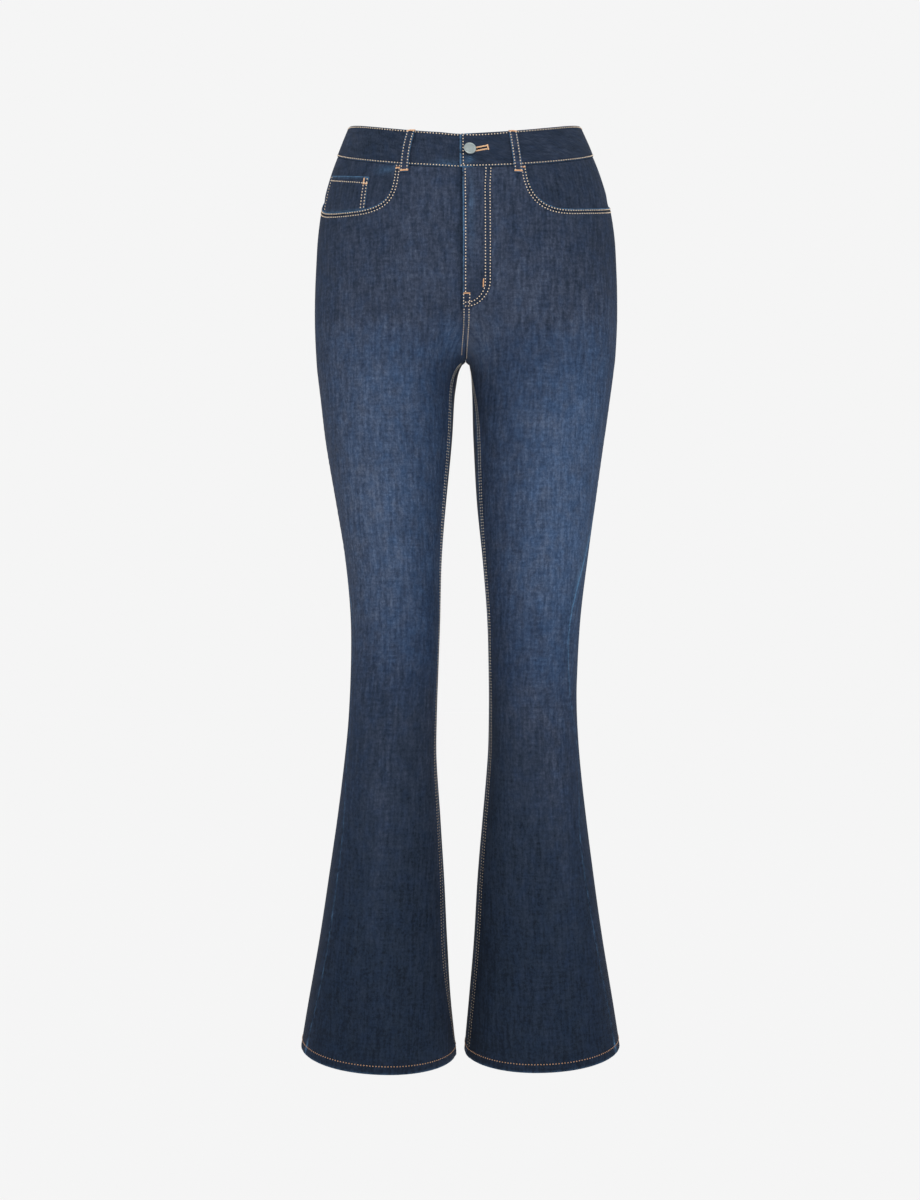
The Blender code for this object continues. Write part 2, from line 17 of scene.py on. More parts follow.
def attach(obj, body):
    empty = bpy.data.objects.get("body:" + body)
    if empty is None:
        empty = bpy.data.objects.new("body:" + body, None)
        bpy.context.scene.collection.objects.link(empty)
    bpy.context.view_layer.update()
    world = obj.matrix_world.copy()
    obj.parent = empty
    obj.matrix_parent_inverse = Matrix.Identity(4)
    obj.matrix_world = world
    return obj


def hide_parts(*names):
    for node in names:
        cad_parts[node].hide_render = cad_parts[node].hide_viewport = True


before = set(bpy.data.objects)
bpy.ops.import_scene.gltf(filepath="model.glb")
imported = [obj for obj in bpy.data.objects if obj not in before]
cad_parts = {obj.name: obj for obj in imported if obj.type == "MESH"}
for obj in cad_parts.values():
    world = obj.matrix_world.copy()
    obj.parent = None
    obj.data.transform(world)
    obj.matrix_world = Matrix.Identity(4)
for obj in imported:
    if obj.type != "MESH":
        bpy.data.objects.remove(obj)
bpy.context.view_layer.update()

# ---------------------------------------------------------------- the leg panels
# Two fronts and two backs of stretch denim, cut from waist to hem and sewn together at the sides,
# the inseams and the centre. The fronts are scooped out for the pockets, the hems are turned up
# inside. Their shape, form(side, turn, z), is that of the legs and hips that fill them.
MM = 0.001
RIGHT, LEFT = -1, 1  # the wearer's
HANDS = {RIGHT: "right", LEFT: "left"}
CLOTH, SEAM_GAP = 1.2, 0.3
CROTCH, CROTCH_CURVE, ARCH = -258.6, 80.0, 20.0  # its height, and how far it curves up and down
CENTRE_LAP, CENTRE_LAP_OVER = 0.0078, 44.0
SEAT, THIGH, OVER_LEG = -165.0, -400.0, -325.0  # the hips' section goes over to the leg's here
CENTRE_SPAN, CENTRE_SOFT, FULLNESS, SIDE = 0.2, 0.6, 2.25, 0.5
# A leg's section at each drop below the waist: how far its outer and inner sides are from the
# centre plane, and how far it reaches to the front and to the back.
DROP, OUTER, INNER, FRONT, BACK = range(5)
SECTIONS = np.array(
    [
        (-34, 127.0, 0.0, 82, 78),
        (-16, 132.4, 0.0, 86, 84),
        (0, 139.2, 0.0, 90, 90),
        (20, 147.4, 0.0, 95, 97),
        (45, 157.0, 0.0, 100, 107),
        (80, 167.0, 0.0, 104, 119),
        (115, 172.5, 0.0, 106, 128),
        (150, 174.8, 0.0, 107, 133),
        (185, 176.2, 0.0, 107, 132),
        (220, 176.3, 3.4, 105, 126),
        (258.6, 174.3, 6.4, 101, 114),
        (278, 172.3, 8.0, 99, 108),
        (302, 169.2, 10.2, 96, 102),
        (349, 163.0, 12.1, 91, 94),
        (419, 152.2, 17.3, 82, 84),
        (489, 141.6, 23.5, 72, 74),
        (560, 134.1, 27.3, 64, 66),
        (630, 132.2, 29.4, 59, 62),
        (676, 133.4, 30.2, 58, 63),
        (723, 137.2, 29.8, 59, 66),
        (793, 145.3, 24.7, 63, 72),
        (864, 155.0, 19.4, 69, 78),
        (934, 165.2, 15.7, 76, 83),
        (1004, 177.0, 10.6, 83, 87),
        (1070, 187.6, 4.2, 89, 90),
    ]
)
# At each drop: how many degrees each leg's inseam and side seam have swung towards the front, and
# how far both legs, and the gap between them alone, sway to the wearer's left.
INSEAM, SIDE_SWING, SWAY, GAP = {RIGHT: 1, LEFT: 2}, {RIGHT: 3, LEFT: 4}, 5, 6
SWINGS = np.array(
    [
        (-40, 0, 0, 0, 0, 0.0, 0.0),
        (120, 0, 0, 0, 0, 1.9, 0.0),
        (258.6, 0, 0, 0, 0, 1.4, 0.0),
        (270, 11, 3, 1, 1, 1.1, -0.7),
        (286, 18, 9, 2, 2, 1.0, -1.6),
        (302, 19.5, 14.5, 2, 2, 0.9, -2.2),
        (332, 19.5, 21.5, 3, 3, 0.6, -2.4),
        (361, 19.5, 23.4, 4, 4, 0.4, -2.6),
        (430, 17.2, 21.5, 6, 9, 1.4, -5.0),
        (490, 13, 17, 11, 28, 2.2, -5.0),
        (560, 9.5, 16, 25, 45, 1.2, -2.2),
        (610, 10.5, 14.5, 24, 45, -0.2, -0.9),
        (653, 11.5, 16, 23, 38, -1.6, 0.0),
        (705, 13.5, 17.5, 25, 24.5, -2.4, -0.1),
        (735, 15, 18, 28, 26, -2.8, -0.2),
        (790, 17, 19, 36, 37, -3.2, -0.3),
        (830, 17.5, 20, 38, 39, -3.6, -0.4),
        (950, 20, 20, 37, 33, -4.2, -0.6),
        (1000, 14, 19, 34, 29.5, -4.5, -1.0),
        (1070, 3, 17, 26, 26, -4.9, -0.3),
    ]
)


def read(table, column, drop):
    """A column of a table at any drop, on a smooth curve through its rows."""
    drops, values = table[:, DROP], table[:, column]
    rows = np.arange(len(drops))
    low, high = np.maximum(rows - 1, 0), np.minimum(rows + 1, len(drops) - 1)
    slopes = (values[high] - values[low]) / (drops[high] - drops[low])
    k = np.clip(np.searchsorted(drops, drop, side="right") - 1, 0, len(drops) - 2)
    step = drops[k + 1] - drops[k]
    s = np.clip((drop - drops[k]) / step, 0, 1)
    return (
        values[k] * (2 * s**3 - 3 * s**2 + 1)
        + values[k + 1] * (3 * s**2 - 2 * s**3)
        + slopes[k] * step * (s**3 - 2 * s**2 + s)
        + slopes[k + 1] * step * (s**3 - s**2)
    )


def mix(a, b, share):
    return a + (b - a) * share


def ease(s):
    s = np.clip(s, 0, 1)
    return s * s * (3 - 2 * s)


def ramp(value, start, over):
    """Rises smoothly from 0 at the start to 1 a stretch further on."""
    return ease((value - start) / over)


def bell(off, wide):
    """1 in the middle, fading away to both sides."""
    return np.exp(-((off / wide) ** 2))


def oval(angle, across, along):
    s, c = np.sin(angle), np.cos(angle)
    reach = (np.abs(s) ** FULLNESS + np.abs(c) ** FULLNESS) ** (-1 / FULLNESS)
    return reach * s * across, reach * c * along


def quarter_arch(s):
    return 1 - np.sqrt(1 - (1 - np.clip(s, 0, 1)) ** 2)


def near_centre(turn):
    return 1 - ease(np.minimum(turn, 1 - turn) / CENTRE_SPAN)


def half_section(side, turn, z):
    """(x, y) of half a section at a height. Turn 0 is its inner end in front, SIDE the side seam
    and 1 its inner end at the back."""
    outer, front, back = (read(SECTIONS, column, -z) for column in (OUTER, FRONT, BACK))
    inner = read(SECTIONS, INNER, -z) + side * read(SWINGS, GAP, -z)
    across, along, middle = (outer - inner) / 2, (front + back) / 2, (back - front) / 2
    leg_side, leg_in = oval(2 * np.pi * turn, along, across)
    closed = inner * quarter_arch((CROTCH - z) / ARCH)
    leg_x = (outer + inner) / 2 - leg_in - closed * near_centre(turn)
    soft = along * CENTRE_SOFT * np.clip((z - CROTCH) / CROTCH_CURVE, 0, 1) ** 2
    rounded = (np.hypot(leg_side, soft) - soft) * along / (np.hypot(along, soft) - soft)
    leg_y = middle - np.copysign(rounded, leg_side)
    squared, level = np.sin(np.pi * turn) ** 2, np.cos(np.pi * turn)
    over_leg = np.arctan2(squared, level * np.sqrt(1 + squared))
    moved_in = ease((SEAT - z) / (SEAT - OVER_LEG)) * (1 - near_centre(turn))
    angle = mix(np.pi * turn, over_leg, moved_in)
    hip_x, hip_y = oval(angle, outer, np.where(turn < 0.5, front, back))
    at_centre = 1 - quarter_arch((z - CROTCH) / CROTCH_CURVE)
    hips = mix(ease((z - THIGH) / (SEAT - THIGH)), at_centre, near_centre(turn))
    return mix(leg_x, hip_x, hips), mix(leg_y, -hip_y, hips)


def form(side, turn, z):
    """Points of the garment's outer form. Above the crotch it runs on past the centre seams."""
    side, turn, z = np.broadcast_arrays(side, np.asarray(turn, float), np.asarray(z, float))
    beyond = (z >= CROTCH) & ((turn < 0) | (turn > 1))
    turn = np.where(beyond, np.where(turn < 0, -turn, 2 - turn), turn)
    x, y = half_section(side, turn, z)
    x = side * (np.where(beyond, -x, x) + SEAM_GAP / 2) + read(SWINGS, SWAY, -z)
    return np.stack([x, y, z], axis=-1)


def unit(vectors):
    return vectors / np.maximum(np.linalg.norm(vectors, axis=-1, keepdims=True), 1e-9)


def outward(side, turn, z):
    """The form's outward directions. All four panels point straight down at the crotch point."""
    step, rise, reach, pull = 0.006, 1.5, 5.0, 40.0
    side, turn, z = np.broadcast_arrays(side, np.asarray(turn, float), np.asarray(z, float))
    here = form(side, turn, z)
    round_it = form(side, turn + step, z) - form(side, turn - step, z)
    level = np.stack([side * np.where(turn == 0, 1.0, -1.0), 0 * z, 0 * z], axis=-1)
    at_centre = (z >= CROTCH) & ((turn == 0) | (turn == 1))
    round_it = np.where(at_centre[..., None], level, round_it)
    down = form(side, turn, z - rise) - form(side, turn, z + rise)
    normal = unit(np.cross(round_it, down)) * -side[..., None]
    _, crotch_y = half_section(side, 0 * turn, 0 * z + CROTCH)
    away = np.sqrt(here[..., 0] ** 2 + (here[..., 1] - crotch_y) ** 2 + (z - CROTCH) ** 2)
    normal[..., 2] -= pull * bell(away, reach)
    return unit(normal)


def placed(side, turn, z, lift):
    return form(side, turn, z) + outward(side, turn, z) * np.asarray(lift)[..., None]


def inseam_turn(side, z):
    return np.where(z >= CROTCH, 0.0, read(SWINGS, INSEAM[side], -z) / 360)


def centre_lap(side, z):
    """The left front laps the right one at the centre: how far its edge has gone past, in turns."""
    return -side * CENTRE_LAP * ease((z - CROTCH) / CENTRE_LAP_OVER)


def side_turn(side, z):
    return SIDE - read(SWINGS, SIDE_SWING[side], -z) / 360


# Edges round the waist: height at the side seam, dip at the front, rise at the back, and how fast
# they swing from one to the other.
RIM = (10.0, 28.6, 12.0, 2.0)
WAIST_SEAM = (-21.0, 37.8, 9.0, 1.3)
YOKE_SEAM = (-58.0, 0.0, -14.0, 1.6)
HEM, HEM_FRONT_DIP, HEM_OUTER_RISE, HEM_INNER_DIPS = -1059.6, 6.4, 2.0, {RIGHT: 9.0, LEFT: 5.0}
# The pocket's scoop: the turn where it leaves the waist seam, how square its corner is, its depth,
# how wide the corner is, how far its outer end rises again and how late.
SCOOPS = {RIGHT: (0.1592, 4.2, 49.2, 0.4, 28.2, 2.96), LEFT: (0.134, 2.9, 49.4, 0.3, 25.5, 1.47)}


def edge_height(edge, turn):
    at_side, front_dip, back_rise, roundness = edge
    facing = np.cos(np.pi * turn)
    share = np.abs(facing) ** roundness
    return np.where(facing > 0, at_side - front_dip * share, at_side + back_rise * share)


def hem_height(side, turn):
    around = 2 * np.pi * turn
    inner_dip = HEM_INNER_DIPS[side] * (1 + np.cos(around)) / 2
    outer_rise = HEM_OUTER_RISE * (1 - np.cos(around)) / 2
    return HEM - HEM_FRONT_DIP * np.sin(around) ** 2 - inner_dip + outer_rise


def scoop_height(side, turn):
    start, square, depth, wide, rise, late = SCOOPS[side]
    q = np.clip((turn - start) / (SIDE - start), 0, 1)
    fall = (1 - (1 - np.minimum(q / wide, 1)) ** square) ** (1 / square)
    return edge_height(WAIST_SEAM, start) - depth * fall + rise * q**late


def run_lengths(points):
    """How far along each row of points they lie."""
    steps = np.linalg.norm(np.diff(points, axis=-2), axis=-1)
    return np.concatenate([np.zeros(steps.shape[:-1] + (1,)), np.cumsum(steps, axis=-1)], axis=-1)


def resample(side, turn, z, distances):
    """Turns and heights at distances (one row of them for each row) along sampled rows."""
    run = run_lengths(form(side, turn, z))
    rows = range(len(run))
    return (
        np.array([np.interp(distances[r], run[r], turn[r]) for r in rows]),
        np.array([np.interp(distances[r], run[r], z[r]) for r in rows]),
    )


EDGE_STEPS = np.array([0, 0.3, 0.7, 1.2, 2.0, 3.0, 4.4, 6.2, 8.4, 11.0])
INNER_COLUMNS, SAMPLES = 42, 181
TOP_ROWS, LEAST_SLANT = 15, 0.3
HIP_ROW, EVEN_ROW, HIP_PITCH = -140.0, -245.0, 3.8
CURVE_ROWS, ARCH_ROWS, THIGH_ROWS = 25, 9, 11
SHIN_TOP, SHIN_PITCH, SHIN_FOOT = -318.0, 3.7, 16.0  # its foot is measured up from the hem
HEM_ROWS = (13.6, 12.0, 11.0, 10.2, 9.4, 8.6, 7.6, 6.2, 4.8, 3.4, 2.2)
FOLD_RADIUS, FOLD_ROWS, HEM_TURN_UP, TURN_UP_ROWS = 1.35, 9, 12.0, 5
SCOOP_LEAN = 0.5  # columns leave the scoop leaning towards the centre
EVEN_COLUMNS = np.linspace(0, 1, INNER_COLUMNS + 2)[1:-1]


def columns_across(length, shares):
    """Distances across a row: close together at both edges, by shares between them."""
    near = EDGE_STEPS + SEAM_GAP / 2
    reach = near[-1]
    return np.concatenate([near, mix(reach, length - reach, shares), (length - near)[::-1]])


def panel_top(side, is_front):
    """The panel's top edge as turns and heights, column by column."""
    if not is_front:
        turn = np.linspace(SIDE, 1, SAMPLES)[None]
        z = edge_height(YOKE_SEAM, turn) - SEAM_GAP
        length = run_lengths(form(side, turn, z))[0, -1]
        return resample(side, turn, z, columns_across(length, EVEN_COLUMNS)[None])
    start = SCOOPS[side][0]
    seam = np.linspace(centre_lap(side, 0.0), start, SAMPLES)[None]
    scoop = mix(start, SIDE, np.linspace(0, 1, 3 * SAMPLES) ** 3)[None]
    parts = [(seam, edge_height(WAIST_SEAM, seam) - SEAM_GAP), (scoop, scoop_height(side, scoop))]
    lengths = [run_lengths(form(side, *part))[0, -1] for part in parts]
    along_seam = round(INNER_COLUMNS * lengths[0] / sum(lengths))
    near = EDGE_STEPS + SEAM_GAP / 2
    first = np.append(near, np.linspace(near[-1], lengths[0], along_seam + 1)[1:])
    rest = INNER_COLUMNS - along_seam
    last = np.linspace(0, lengths[1] - near[-1], rest + 2)[1:-1]
    last = np.append(last, (lengths[1] - near)[::-1])
    made = [resample(side, *part, d[None]) for part, d in zip(parts, (first, last))]
    return [np.append(a, b, axis=1) for a, b in zip(*made)]


def panel_grid(side, is_front):
    """Turn, height and inward depth of every point of a leg panel, row by row from its top edge
    down to the hem, round the fold and up inside it. The first column is at the inseam of a front
    and at the side of a back."""

    def seams(z):
        if is_front:
            return inseam_turn(side, z) + centre_lap(side, z), side_turn(side, z)
        return side_turn(side, z), 1 + inseam_turn(side, z)

    share = np.linspace(0, 1, SAMPLES)

    def row(z, lean=0.0):
        z = np.full(SAMPLES, z)
        turn = mix(*seams(z), share)[None]
        length = run_lengths(form(side, turn, z[None]))[0, -1]
        shares = mix(EVEN_COLUMNS, EVEN_COLUMNS**1.5, lean)
        turn, z = resample(side, turn, z[None], columns_across(length, shares)[None])
        return turn[0], z[0]

    top_turn, top_z = (each[0] for each in panel_top(side, is_front))
    lean = SCOOP_LEAN * is_front
    hip_turn, hip_z = row(HIP_ROW, lean)
    edge, foot = form(side, top_turn, top_z), form(side, hip_turn, hip_z)
    along, across = unit(np.gradient(edge, axis=0)), unit(foot - edge)
    slant = np.linalg.norm(np.cross(along, across), axis=-1)
    steps = EDGE_STEPS[:, None] / np.maximum(slant, LEAST_SLANT)
    total = np.linalg.norm(foot - edge, axis=-1)
    rest = mix(steps[-1], total, np.linspace(0, 1, TOP_ROWS + 1)[1:, None])
    down = np.concatenate([steps, rest]) / total
    rows = [(mix(top_turn, hip_turn, w), mix(top_z, hip_z, w), 0.0) for w in down]

    curve = CROTCH + CROTCH_CURVE * (1 - np.cos(np.linspace(math.pi / 2, 0, CURVE_ROWS)))
    under = CROTCH - ARCH * (1 - np.cos(np.linspace(0, math.pi / 2, ARCH_ROWS)[1:]))
    levels = [*np.arange(HIP_ROW - HIP_PITCH, curve[0] + 1, -HIP_PITCH), *curve, *under]
    for level in [*levels, *np.linspace(under[-1], SHIN_TOP, THIGH_ROWS)[1:]]:
        at = ease((HIP_ROW - level) / (HIP_ROW - EVEN_ROW))
        rows.append((*row(level, lean * (1 - at)), 0.0))

    hem = hem_height(side, mix(*seams(HEM), share))
    for s in np.linspace(0, 1, int((SHIN_TOP - HEM) / SHIN_PITCH))[1:]:
        rows.append((*row(mix(SHIN_TOP, hem + SHIN_FOOT, s)), 0.0))
    fold = np.linspace(0, math.pi, FOLD_ROWS)
    hem_rows = [(up, 0.0) for up in HEM_ROWS]
    hem_rows += [(FOLD_RADIUS * (1 - math.sin(a)), FOLD_RADIUS * (1 - math.cos(a))) for a in fold]
    turned_up = np.linspace(FOLD_RADIUS, HEM_TURN_UP, TURN_UP_ROWS)[1:]
    hem_rows += [(up, 2 * FOLD_RADIUS) for up in turned_up]
    rows += [(*row(hem + up), depth) for up, depth in hem_rows]
    turn, z = (np.array([r[k] for r in rows]) for k in (0, 1))
    depth = np.array([r[2] for r in rows])[:, None] + 0 * turn
    return turn, z, depth, top_turn, top_z


def rolled(distance, radius):
    """How far an edge has rolled inwards, by the distance from it."""
    away = radius - np.clip(distance, 0, radius)
    return radius - np.sqrt(radius**2 - away**2)


def wave(along, pitch, seed):
    """An uneven ripple from -1 to 1: three waves whose lengths don't fit."""
    turns = 2 * np.pi * along / pitch
    a, b, c = np.random.default_rng(seed).uniform(0, 2 * np.pi, 3)
    ripple = np.sin(turns + a) + 0.7 * np.sin(turns * 0.618 + b) + 0.5 * np.sin(turns * 1.38 + c)
    return ripple / 2.2


def puckers(distance, along, seed, reach=9.0, height=0.22, pitch=8.0):
    """The small ripples that tight stitching draws into the cloth beside a seam."""
    return height * wave(along, pitch, seed) * bell(distance, reach)


ALLOWANCE, ALLOWANCE_DEEP = 0.7, 1.0
GIRTH = 470.0  # one whole turn, in millimetres, for placing creases
CREASE_BOW, CREASE_FADE = 0.06, 0.8


def creased(turn, z, creases):
    """The depth of listed creases: rows of from turn, drop, to turn, drop, width, depth."""
    depth = 0 * z
    for from_turn, from_drop, to_turn, to_drop, width, deep in creases:
        start = np.array([from_turn * GIRTH, -from_drop])
        line = np.array([to_turn * GIRTH, -to_drop]) - start
        x, y, length = turn * GIRTH - start[0], z - start[1], np.sqrt(line @ line)
        t = (x * line[0] + y * line[1]) / (line @ line)
        off = (x * line[1] - y * line[0]) / length
        arc = np.sin(np.pi * np.clip(t, 0, 1))
        depth += deep * arc**CREASE_FADE * bell(off - CREASE_BOW * length * arc, width)
    return depth


CREASES = {
    (RIGHT, True): [
        (0.02, 236, 0.16, 214, 9, 0.9),
        (0.02, 252, 0.13, 262, 8, 0.7),
        (0.05, 270, 0.17, 292, 10, 0.6),
        (0.40, 150, 0.30, 190, 14, 0.5),
        (0.10, 590, 0.26, 604, 13, 0.6),
        (0.20, 640, 0.36, 626, 12, 0.5),
        (0.26, 700, 0.24, 1040, 20, -1.2),
        (0.36, 760, 0.38, 1050, 16, 0.9),
        (0.14, 800, 0.11, 1050, 15, 0.8),
    ],
    (LEFT, True): [
        (0.02, 230, 0.15, 206, 9, 0.8),
        (0.02, 250, 0.14, 256, 8, 0.8),
        (0.06, 276, 0.19, 300, 10, 0.6),
        (0.41, 140, 0.31, 176, 14, 0.5),
        (0.12, 600, 0.28, 590, 13, 0.5),
        (0.18, 634, 0.35, 646, 12, 0.6),
        (0.27, 690, 0.29, 1040, 20, -1.2),
        (0.37, 780, 0.37, 1050, 16, 0.9),
        (0.15, 790, 0.14, 1050, 15, 0.8),
    ],
    (RIGHT, False): [
        (0.94, 262, 0.76, 300, 11, 2.0),
        (0.95, 276, 0.80, 330, 10, 1.3),
        (0.93, 246, 0.72, 262, 11, 1.4),
        (0.60, 590, 0.84, 612, 12, 1.8),
        (0.66, 628, 0.90, 606, 11, 1.5),
        (0.58, 652, 0.80, 664, 13, 1.2),
        (0.72, 560, 0.92, 574, 12, 1.0),
        (0.75, 700, 0.73, 1040, 20, -1.3),
        (0.62, 780, 0.60, 1050, 16, 1.0),
        (0.88, 800, 0.90, 1050, 16, 0.9),
    ],
    (LEFT, False): [
        (0.94, 258, 0.74, 290, 11, 1.9),
        (0.95, 280, 0.82, 338, 10, 1.4),
        (0.94, 242, 0.75, 252, 11, 1.2),
        (0.62, 600, 0.86, 592, 12, 1.7),
        (0.64, 620, 0.88, 634, 11, 1.4),
        (0.60, 660, 0.82, 652, 13, 1.3),
        (0.70, 566, 0.90, 556, 12, 0.9),
        (0.74, 700, 0.77, 1040, 20, -1.3),
        (0.61, 800, 0.63, 1050, 16, 1.0),
        (0.90, 780, 0.87, 1050, 16, 0.9),
    ],
}


def colour(red, green, blue, alpha=1.0):
    """A colour as mixed for a screen, from 0 to 255, as light."""
    levels = [c / 255 for c in (red, green, blue)]
    levels = [c / 12.92 if c <= 0.04045 else ((c + 0.055) / 1.055) ** 2.4 for c in levels]
    return (*levels, alpha)


class Wire:
    """One socket of a finish's nodes, so that its maths reads as plain sums."""

    def __init__(self, tree, socket=None):
        self.tree, self.socket = tree, socket

    def node(self, kind, settings=None, sockets=None, out=0):
        """Makes a node: its type, its settings, then the values or wires of its sockets."""
        made = self.tree.nodes.new(kind)
        for name, value in (settings or {}).items():
            if name == "stops":
                stops = made.color_ramp.elements
                while len(stops) < len(value):
                    stops.new(1.0)
                for stop, (place, shade) in zip(stops, value):
                    stop.position, stop.color = place, shade
            else:
                setattr(made, name, value)
        for name, value in (sockets or {}).items():
            if isinstance(value, Wire):
                self.tree.links.new(value.socket, made.inputs[name])
            else:
                made.inputs[name].default_value = value
        return Wire(self.tree, made.outputs[out] if made.outputs else None)

    def maths(self, operation, first, second, use_clamp=False):
        settings = {"operation": operation, "use_clamp": use_clamp}
        return self.node("ShaderNodeMath", settings, {0: first, 1: second})

    def __add__(self, other):
        return self.maths("ADD", self, other)

    def __sub__(self, other):
        return self.maths("SUBTRACT", self, other)

    def __rsub__(self, other):
        return self.maths("SUBTRACT", other, self)

    def __mul__(self, other):
        return self.maths("MULTIPLY", self, other)

    __radd__, __rmul__ = __add__, __mul__

    def noise(self, where, stretch, detail=2.0, roughness=0.5):
        """Noise from 0 to 1. stretch is its grains in a metre: across, along and through."""
        multiply = {"operation": "MULTIPLY"}
        scaled = self.node("ShaderNodeVectorMath", multiply, {0: where, 1: stretch})
        sockets = {"Vector": scaled, "Scale": 1.0, "Detail": detail, "Roughness": roughness}
        return self.node("ShaderNodeTexNoise", sockets=sockets)

    def between(self, share, first, second):
        """Mixes two colours, by the places of a Mix node's colour sockets."""
        return self.node("ShaderNodeMix", {"data_type": "RGBA"}, {0: share, 6: first, 7: second}, 2)

    def bump(self, height, strength, distance):
        sockets = {"Strength": strength, "Distance": distance, "Height": height}
        return self.node("ShaderNodeBump", sockets=sockets)


def finish_of(name, **constants):
    """A new material: a wire to build on, and what to call with the wires of its shader."""
    made = bpy.data.materials.new(name)
    made.use_nodes = True
    shader = made.node_tree.nodes["Principled BSDF"]
    for socket, value in constants.items():
        shader.inputs[socket.replace("_", " ")].default_value = value

    def connect(**wires):
        for socket, wire in wires.items():
            made.node_tree.links.new(wire.socket, shader.inputs[socket.replace("_", " ")])
        return made

    return Wire(made.node_tree), connect


# Washed denim from its deepest to its palest, by how far the dye has gone: grey where the
# undyed core shows, blue where the thighs were sprayed.
GREY_SHADES = [
    (0.00, colour(20, 29, 42)),
    (0.11, colour(31, 42, 58)),
    (0.33, colour(45, 55, 73)),
    (0.47, colour(55, 64, 83)),
    (0.64, colour(65, 75, 95)),
    (1.00, colour(92, 103, 124)),
]
BLUE_SHADES = [
    (0.00, colour(16, 27, 44)),
    (0.11, colour(26, 40, 61)),
    (0.33, colour(36, 52, 78)),
    (0.64, colour(52, 71, 100)),
    (0.89, colour(66, 87, 119)),
    (1.00, colour(78, 100, 133)),
]
WORN_EDGE = colour(84, 122, 158)
INDIGO_BACK, WEFT = colour(58, 68, 86), colour(112, 124, 142)
# What makes the cloth uneven: the warp's slubs, bars in the weft, mixed fibres, clouds of paler dye
# and the dye baths' dips. For each, its grains in a metre, its detail and its roughness.
YARNS = [
    ((270, 36, 1000), 3.0, 0.65),
    ((50, 300, 1000), 2.0, 0.6),
    ((340, 300, 1000), 2.0, 0.8),
    ((18, 10, 1000), 2.0, 0.5),
    ((90, 60, 1000), 3.0, 0.6),
]
TWILL = {"Scale": 420.0, "Distortion": 1.2, "Detail": 1.0, "Detail Scale": 2.0}
LEAST_CONTRAST, MOST_CONTRAST = 0.19, 0.62


def denim(name, reverse=False):
    """3x1 twill: indigo warp on the face, undyed weft on the back. The warp's slubs run along it.
    Each point carries its wash and painted light (how far the dye has gone, with painted light and
    shade laid on it, how worn it is, how blue) and its place on the cloth (across and along the
    grain)."""
    wire, connect = finish_of(name, Specular_IOR_Level=0.1, Sheen_Weight=0.02)
    wash, cloth = (
        wire.node("ShaderNodeAttribute", {"attribute_name": key}, out="Vector")
        for key in ("wash", "cloth")
    )
    tone, worn, blue = (
        wire.node("ShaderNodeSeparateXYZ", sockets={0: wash}, out=axis) for axis in "XYZ"
    )
    slubs, weft_bars, heather, clouds, dips = (wire.noise(cloth, *yarn) - 0.5 for yarn in YARNS)
    grain = slubs * 1.5 + weft_bars * 0.55 + heather * 1.5 + clouds * 0.25
    bands = {"wave_type": "BANDS", "bands_direction": "DIAGONAL"}
    twill_lines = wire.node("ShaderNodeTexWave", bands, {"Vector": cloth, **TWILL}, out="Fac")
    if reverse:
        base = wire.between(grain * 0.8 + 0.5, INDIGO_BACK, WEFT)
    else:
        contrast = wire.maths("MINIMUM", tone + LEAST_CONTRAST, MOST_CONTRAST)
        shade = tone + grain * contrast + (twill_lines - 0.5) * 0.06
        grey_dye, blue_dye = (
            wire.node("ShaderNodeValToRGB", {"stops": stops}, {0: shade})
            for stops in (GREY_SHADES, BLUE_SHADES)
        )
        dyed = wire.between(blue + dips * 1.7, grey_dye, blue_dye)
        patchy = wire.maths("MULTIPLY", worn, 1.0 + grain * 1.6, use_clamp=True)
        base = wire.between(patchy, dyed, WORN_EDGE)
    bump = wire.bump(twill_lines * 0.5 + slubs * 0.7 + heather * 0.5, 0.35, 0.00035)
    return connect(Base_Color=base, Roughness=0.84 + grain * 0.12, Normal=bump)


DENIM, DENIM_REVERSE = denim("denim_face"), denim("denim_reverse", reverse=True)


def linked(name, data):
    """Puts a mesh, a lamp or a camera into the scene."""
    made = bpy.data.objects.new(name, data)
    bpy.context.scene.collection.objects.link(made)
    return made


def piece_of(bm, name, *finishes, smooth=True):
    """Makes a shape a piece of the scene, in its finishes."""
    mesh = bpy.data.meshes.new(name)
    bm.to_mesh(mesh)
    bm.free()
    if smooth:
        mesh.shade_smooth()
    for finish in finishes:
        mesh.materials.append(finish)
    return linked(name, mesh)


LOT_STEP, WELD = 7.3, 0.004


def cloth_piece(name, layers, wash, cloth, finishes=(DENIM,)):
    """One or two layers of a grid of points. Two layers are joined round their rim, so that they
    close. wash (the dye's wash, with painted light and shade laid on it) and cloth are carried by
    every point."""
    bm = bmesh.new()
    lot = LOT_STEP * len(bpy.data.meshes)  # each piece is cut from its own place on the roll
    carried = {key: bm.verts.layers.float_vector.new(key) for key in ("wash", "cloth")}
    rows, columns = layers[0].shape[:2]
    for points in layers:
        made = bmesh.ops.create_grid(bm, x_segments=columns - 1, y_segments=rows - 1, size=0.5)
        for vert in made["verts"]:
            i = round((vert.co.x + 0.5) * (columns - 1))
            j = round((vert.co.y + 0.5) * (rows - 1))
            vert.co = points[j, i] * MM
            vert[carried["wash"]] = wash[j, i]
            vert[carried["cloth"]] = (*cloth[j, i] * MM, lot * MM)
    if len(layers) == 2:
        rim = [v for v in bm.verts if v.is_boundary]
        bmesh.ops.remove_doubles(bm, verts=rim, dist=WELD * MM)
        bmesh.ops.recalc_face_normals(bm, faces=bm.faces[:])
    return piece_of(bm, name, *finishes)


def faces_out(piece, side, turn, z):
    """Turns the faces of an open sheet so that they point away from the body."""
    row, column = turn.shape[0] // 2, turn.shape[1] // 2
    middle = piece.data.polygons[len(piece.data.polygons) // 2]
    if Vector(outward(side, turn[row, column], z[row, column])).dot(middle.normal) < 0:
        piece.data.flip_normals()


